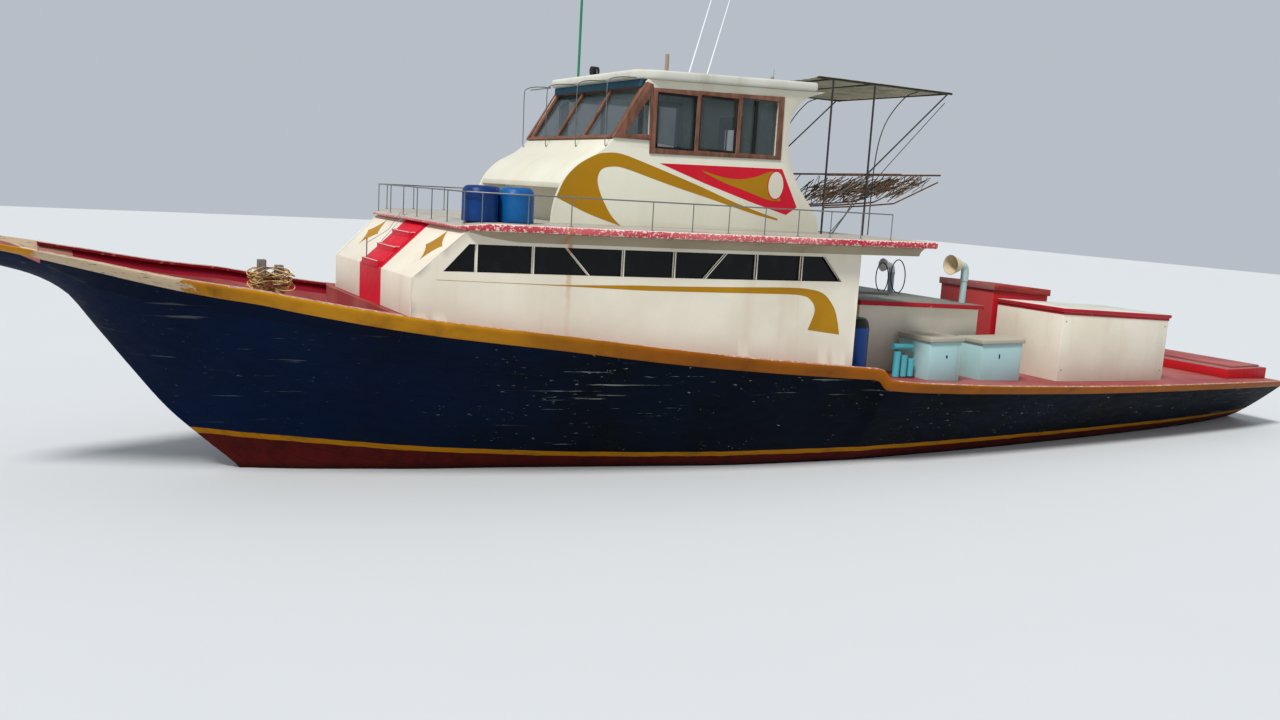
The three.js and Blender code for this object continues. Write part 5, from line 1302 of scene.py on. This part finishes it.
def onCasing(at, normal):
    # The roof's top, its upright edge and the walls
    top = (normal[:, 2] > 0.6) & (at[:, 2] > 2.5)
    outside = (np.abs(at[:, 1]) > 2.0) | (at[:, 0] < -2.24) | (at[:, 0] > 0.81)
    edge = (np.abs(normal[:, 2]) < 0.6) & (at[:, 2] > 2.585) & outside
    return np.where(top, 1, np.where(edge, 2, 0))


carry("engine_casing", [cream, casingTop, fascia], 0.008, pick=onCasing)
carry("casing_hatch", casingTop, 0.006)
hatchZ = float(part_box("casing_hatch")[1][2])
bend = ((0.12, -0.02), (0.11, 0.035), (0, 0.045), (-0.11, 0.035), (-0.12, -0.02))
handle = flow([(-0.3, y, hatchZ + z) for y, z in bend], 4)
piece("hatch_handle", rod(handle, 0.008), steel, body="casing_hatch")


def hornShape(x, y, low, axis, pipe, mouth, reach):
    # A cowl: a neck that bends forward and flares, and comes back inside itself with a thinner section
    run = flow([(0, low), (0, axis - 0.13), (0.035, axis - 0.035), (0.13, axis), (0.22, axis),
                (reach * 0.75, axis), (reach, axis)], 6)
    path = np.stack([x + run[:, 0], np.full(len(run), y), run[:, 1]], 1)
    flare = easeThrough([0, 0.62, 0.72, 0.86, 1], [pipe, pipe, (pipe + mouth) * 0.5, mouth * 0.86, mouth])
    along = np.concatenate([[0], np.cumsum(np.linalg.norm(np.diff(path, axis=0), axis=1))])
    radius = flare(along / along[-1])[:, None, None]
    outside, inside = circlesAlong(path, radius, 32), circlesAlong(path, radius - 0.010, 32)
    rim = [circlesAlong(path, radius + more, 32)[-1] for more in (0.006, -0.004)]
    back = inside[len(path) // 2 + 1:-1][::-1]
    return loft(np.concatenate([outside, rim, back]))


vent = {"x": -2.06, "y": 1.64, "low": 3.105, "axis": 3.41, "neck": 0.0745, "mouth": 0.183, "reach": 0.398}
aftVent = {"x": -1.98, "y": -0.30, "foot": 2.685, "low": 3.05, "axis": 3.24, "neck": 0.066, "mouth": 0.13,
           "reach": 0.26}


def hornOf(look):
    # The cowl that a dictionary of sizes describes.
    return hornShape(*(look[key] for key in ("x", "y", "low", "axis", "neck", "mouth", "reach")))


carry("vent_pipe", pipeCyan, 0, smooth=60)
piece("cowl_finished", hornOf(vent), [hornCream, pipeCyan], body="cowl", replaces="cowl", smooth=60,
      pick=lambda at, normal: at[:, 0] < vent["x"] + 0.13)
aftPipe = turned(aftVent["x"], aftVent["y"], [(0.06, aftVent["foot"]), (0.06, 3.06)], 28)
piece("aft_vent", together(aftPipe, hornOf(aftVent)), [ventGrey, ventWhite], smooth=60,
      pick=lambda at, normal: at[:, 2] > 3.1)

for name, look, edge in (("fish_box_fore", cyan, 0.006), ("fish_box_aft", cyan, 0.006),
                         ("fish_box_fore_lid", lidPaint, 0.010), ("fish_box_aft_lid", lidPaint, 0.010)):
    carry(name, look, edge)
# The tank's fore faces take the darker red: painted shade.
carry("tank", [tankRed, tankForeShade], 0.008, pick=lambda at, normal: normal[:, 0] > 0.7)
carry("tank_lid", [plank, wornPlank], 0.012, pick=lambda at, normal: normal[:, 0] > 0.7)
carry("hold_box", cream, 0.008)
carry("hold_box_lid", [creamRoof, fascia], 0.010, pick=lambda at, normal: np.abs(normal[:, 2]) < 0.5)

# The red edge under the long box's lid: the box is lower aft by its fall
boxLow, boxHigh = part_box("hold_box")
redEdge = {"deep": 0.053, "out": 0.006, "fall": 0.15}
fore = boxHigh[2] - 0.002
aft = fore - redEdge["fall"]
outline = [(boxLow[0], aft - redEdge["deep"]), (boxHigh[0], fore - redEdge["deep"]),
           (boxHigh[0], fore), (boxLow[0], aft)]
edges = [plate(outline, y - 0.001, y + redEdge["out"]) for y in (boxHigh[1], boxLow[1] - 0.005)]
for x, top in ((boxHigh[0], fore), (boxLow[0] - 0.005, aft)):
    edges.append(block((x - 0.001, boxLow[1] - redEdge["out"], top - redEdge["deep"]),
                       (x + redEdge["out"], boxHigh[1] + redEdge["out"], top), 0.001))
piece("hold_box_red_edge", together(*edges), fascia)
carry("stern_well", [tankRed, wornPlank], 0.010, pick=lambda at, normal: normal[:, 2] > 0.7)
carry("stern_well_lid", deckRed, 0.006)

keyholes = [plate(oval(x, z, wide, high), y, y + 0.0017)
            for x, z, y, wide, high in ((-0.52, 1.86, 2.8995, 0.022, 0.032),
                                        (-2.05, 1.80, 2.7195, 0.020, 0.050))]
piece("keyholes", together(*keyholes), black)
bolt = turned(0, 0, [(0.013, 0), (0.013, 0.006), (0.006, 0.009)], 14)
toPort = Matrix.Rotation(-math.pi / 2, 4, "X")
bolts = [moved(bolt, toPort, (x, 2.749, z))
         for x, z in ((-3.75, 1.5), (-6.78, 1.4), (-3.75, 2.45), (-6.78, 2.32))]
piece("hold_box_bolts", together(*bolts), steel)

pipes = [rod([(x, 2.62, 1.49), (x, 2.62, 1.7), (x, 2.62, top)], 0.062, 20)
         for x, top in ((0.40, 1.93), (0.23, 1.86), (0.07, 1.80))]
pipes.append(rod([(-0.01, 2.54, 2.0), (0.2, 2.55, 2.01), (0.46, 2.56, 2.02)], 0.050, 20))
piece("water_pipes", together(*pipes), turquoise, smooth=60)
hoops = []
for x, y, wide, high, lean in ((-1.51, -0.06, 0.165, 0.30, 0.03), (-1.92, -0.04, 0.195, 0.34, 0.04)):
    low = 2.705 + (x + 1.5) * 0.034
    ring = np.stack([x + wide * np.cos(turn) + lean * np.sin(turn), y + 0.02 * np.sin(turn),
                     low + high + high * np.sin(turn)], 1)
    hoops.append(rod(ring, 0.011, 8, closed=True))
piece("net_hoops", together(*hoops), black, smooth=60)

print("camera, light and floor")
eye = {"at": (13.92, 17.0, 4.5), "yaw": 30.0, "down": 8.833, "roll": 3.36, "lens": 30.94}


def lookFrom(eye):
    # The camera's matrix: its three axes turned by yaw, then down, then roll, and moved to the eye.
    yaw, down, roll = (math.radians(eye[k]) for k in ("yaw", "down", "roll"))
    ahead = Vector((-math.sin(yaw), -math.cos(yaw), 0))
    right = Vector((-math.cos(yaw), math.sin(yaw), 0))
    sky = Vector((0, 0, 1))
    forward = ahead * math.cos(down) - sky * math.sin(down)
    up = sky * math.cos(down) + ahead * math.sin(down)
    across = right * math.cos(roll) + up * math.sin(roll)
    upright = up * math.cos(roll) - right * math.sin(roll)
    turn = Matrix((across, upright, -forward)).transposed().to_4x4()
    return Matrix.Translation(eye["at"]) @ turn


camera = bpy.data.cameras.new("camera")
camera.lens, camera.sensor_width = eye["lens"], 36.0
camera.clip_end = 400
view = bpy.data.objects.new("camera", camera)
view.matrix_world = lookFrom(eye)
bpy.context.scene.collection.objects.link(view)
bpy.context.scene.camera = view
bpy.context.scene.view_settings.view_transform = "Standard"

light = {
    "sky": (0.80, 0.86, 0.95, 1), "skyPower": 0.60,
    "sunPower": 3.1, "sunWide": 12, "sunFrom": (0.62, 0.38, 0.95),
}
world = bpy.data.worlds.new("soft_sky")
world.use_nodes = True
world.node_tree.nodes["Background"].inputs["Color"].default_value = light["sky"]
world.node_tree.nodes["Background"].inputs["Strength"].default_value = light["skyPower"]
bpy.context.scene.world = world
sun = bpy.data.lights.new("sun", "SUN")
sun.energy, sun.angle = light["sunPower"], math.radians(light["sunWide"])
lamp = bpy.data.objects.new("sun", sun)
lamp.matrix_world = Vector(light["sunFrom"]).to_track_quat("Z", "Y").to_matrix().to_4x4()
bpy.context.scene.collection.objects.link(lamp)

floorFinish = Finish("floor", None)
floorTone = floorFinish.blend(floorFinish.noise(0.3, 3) * 0.2, tint((202, 204, 204)), tint((214, 214, 212)))
floorFinish.done(floorTone, 0.7)
ground = bpy.data.meshes.new("floor")
ground.from_pydata([(-90, -90, 0), (90, -90, 0), (90, 90, 0), (-90, 90, 0)], [], [(0, 1, 2, 3)])
ground.materials.append(floorFinish.material)
floor = bpy.data.objects.new("floor", ground)
bpy.context.scene.collection.objects.link(floor)
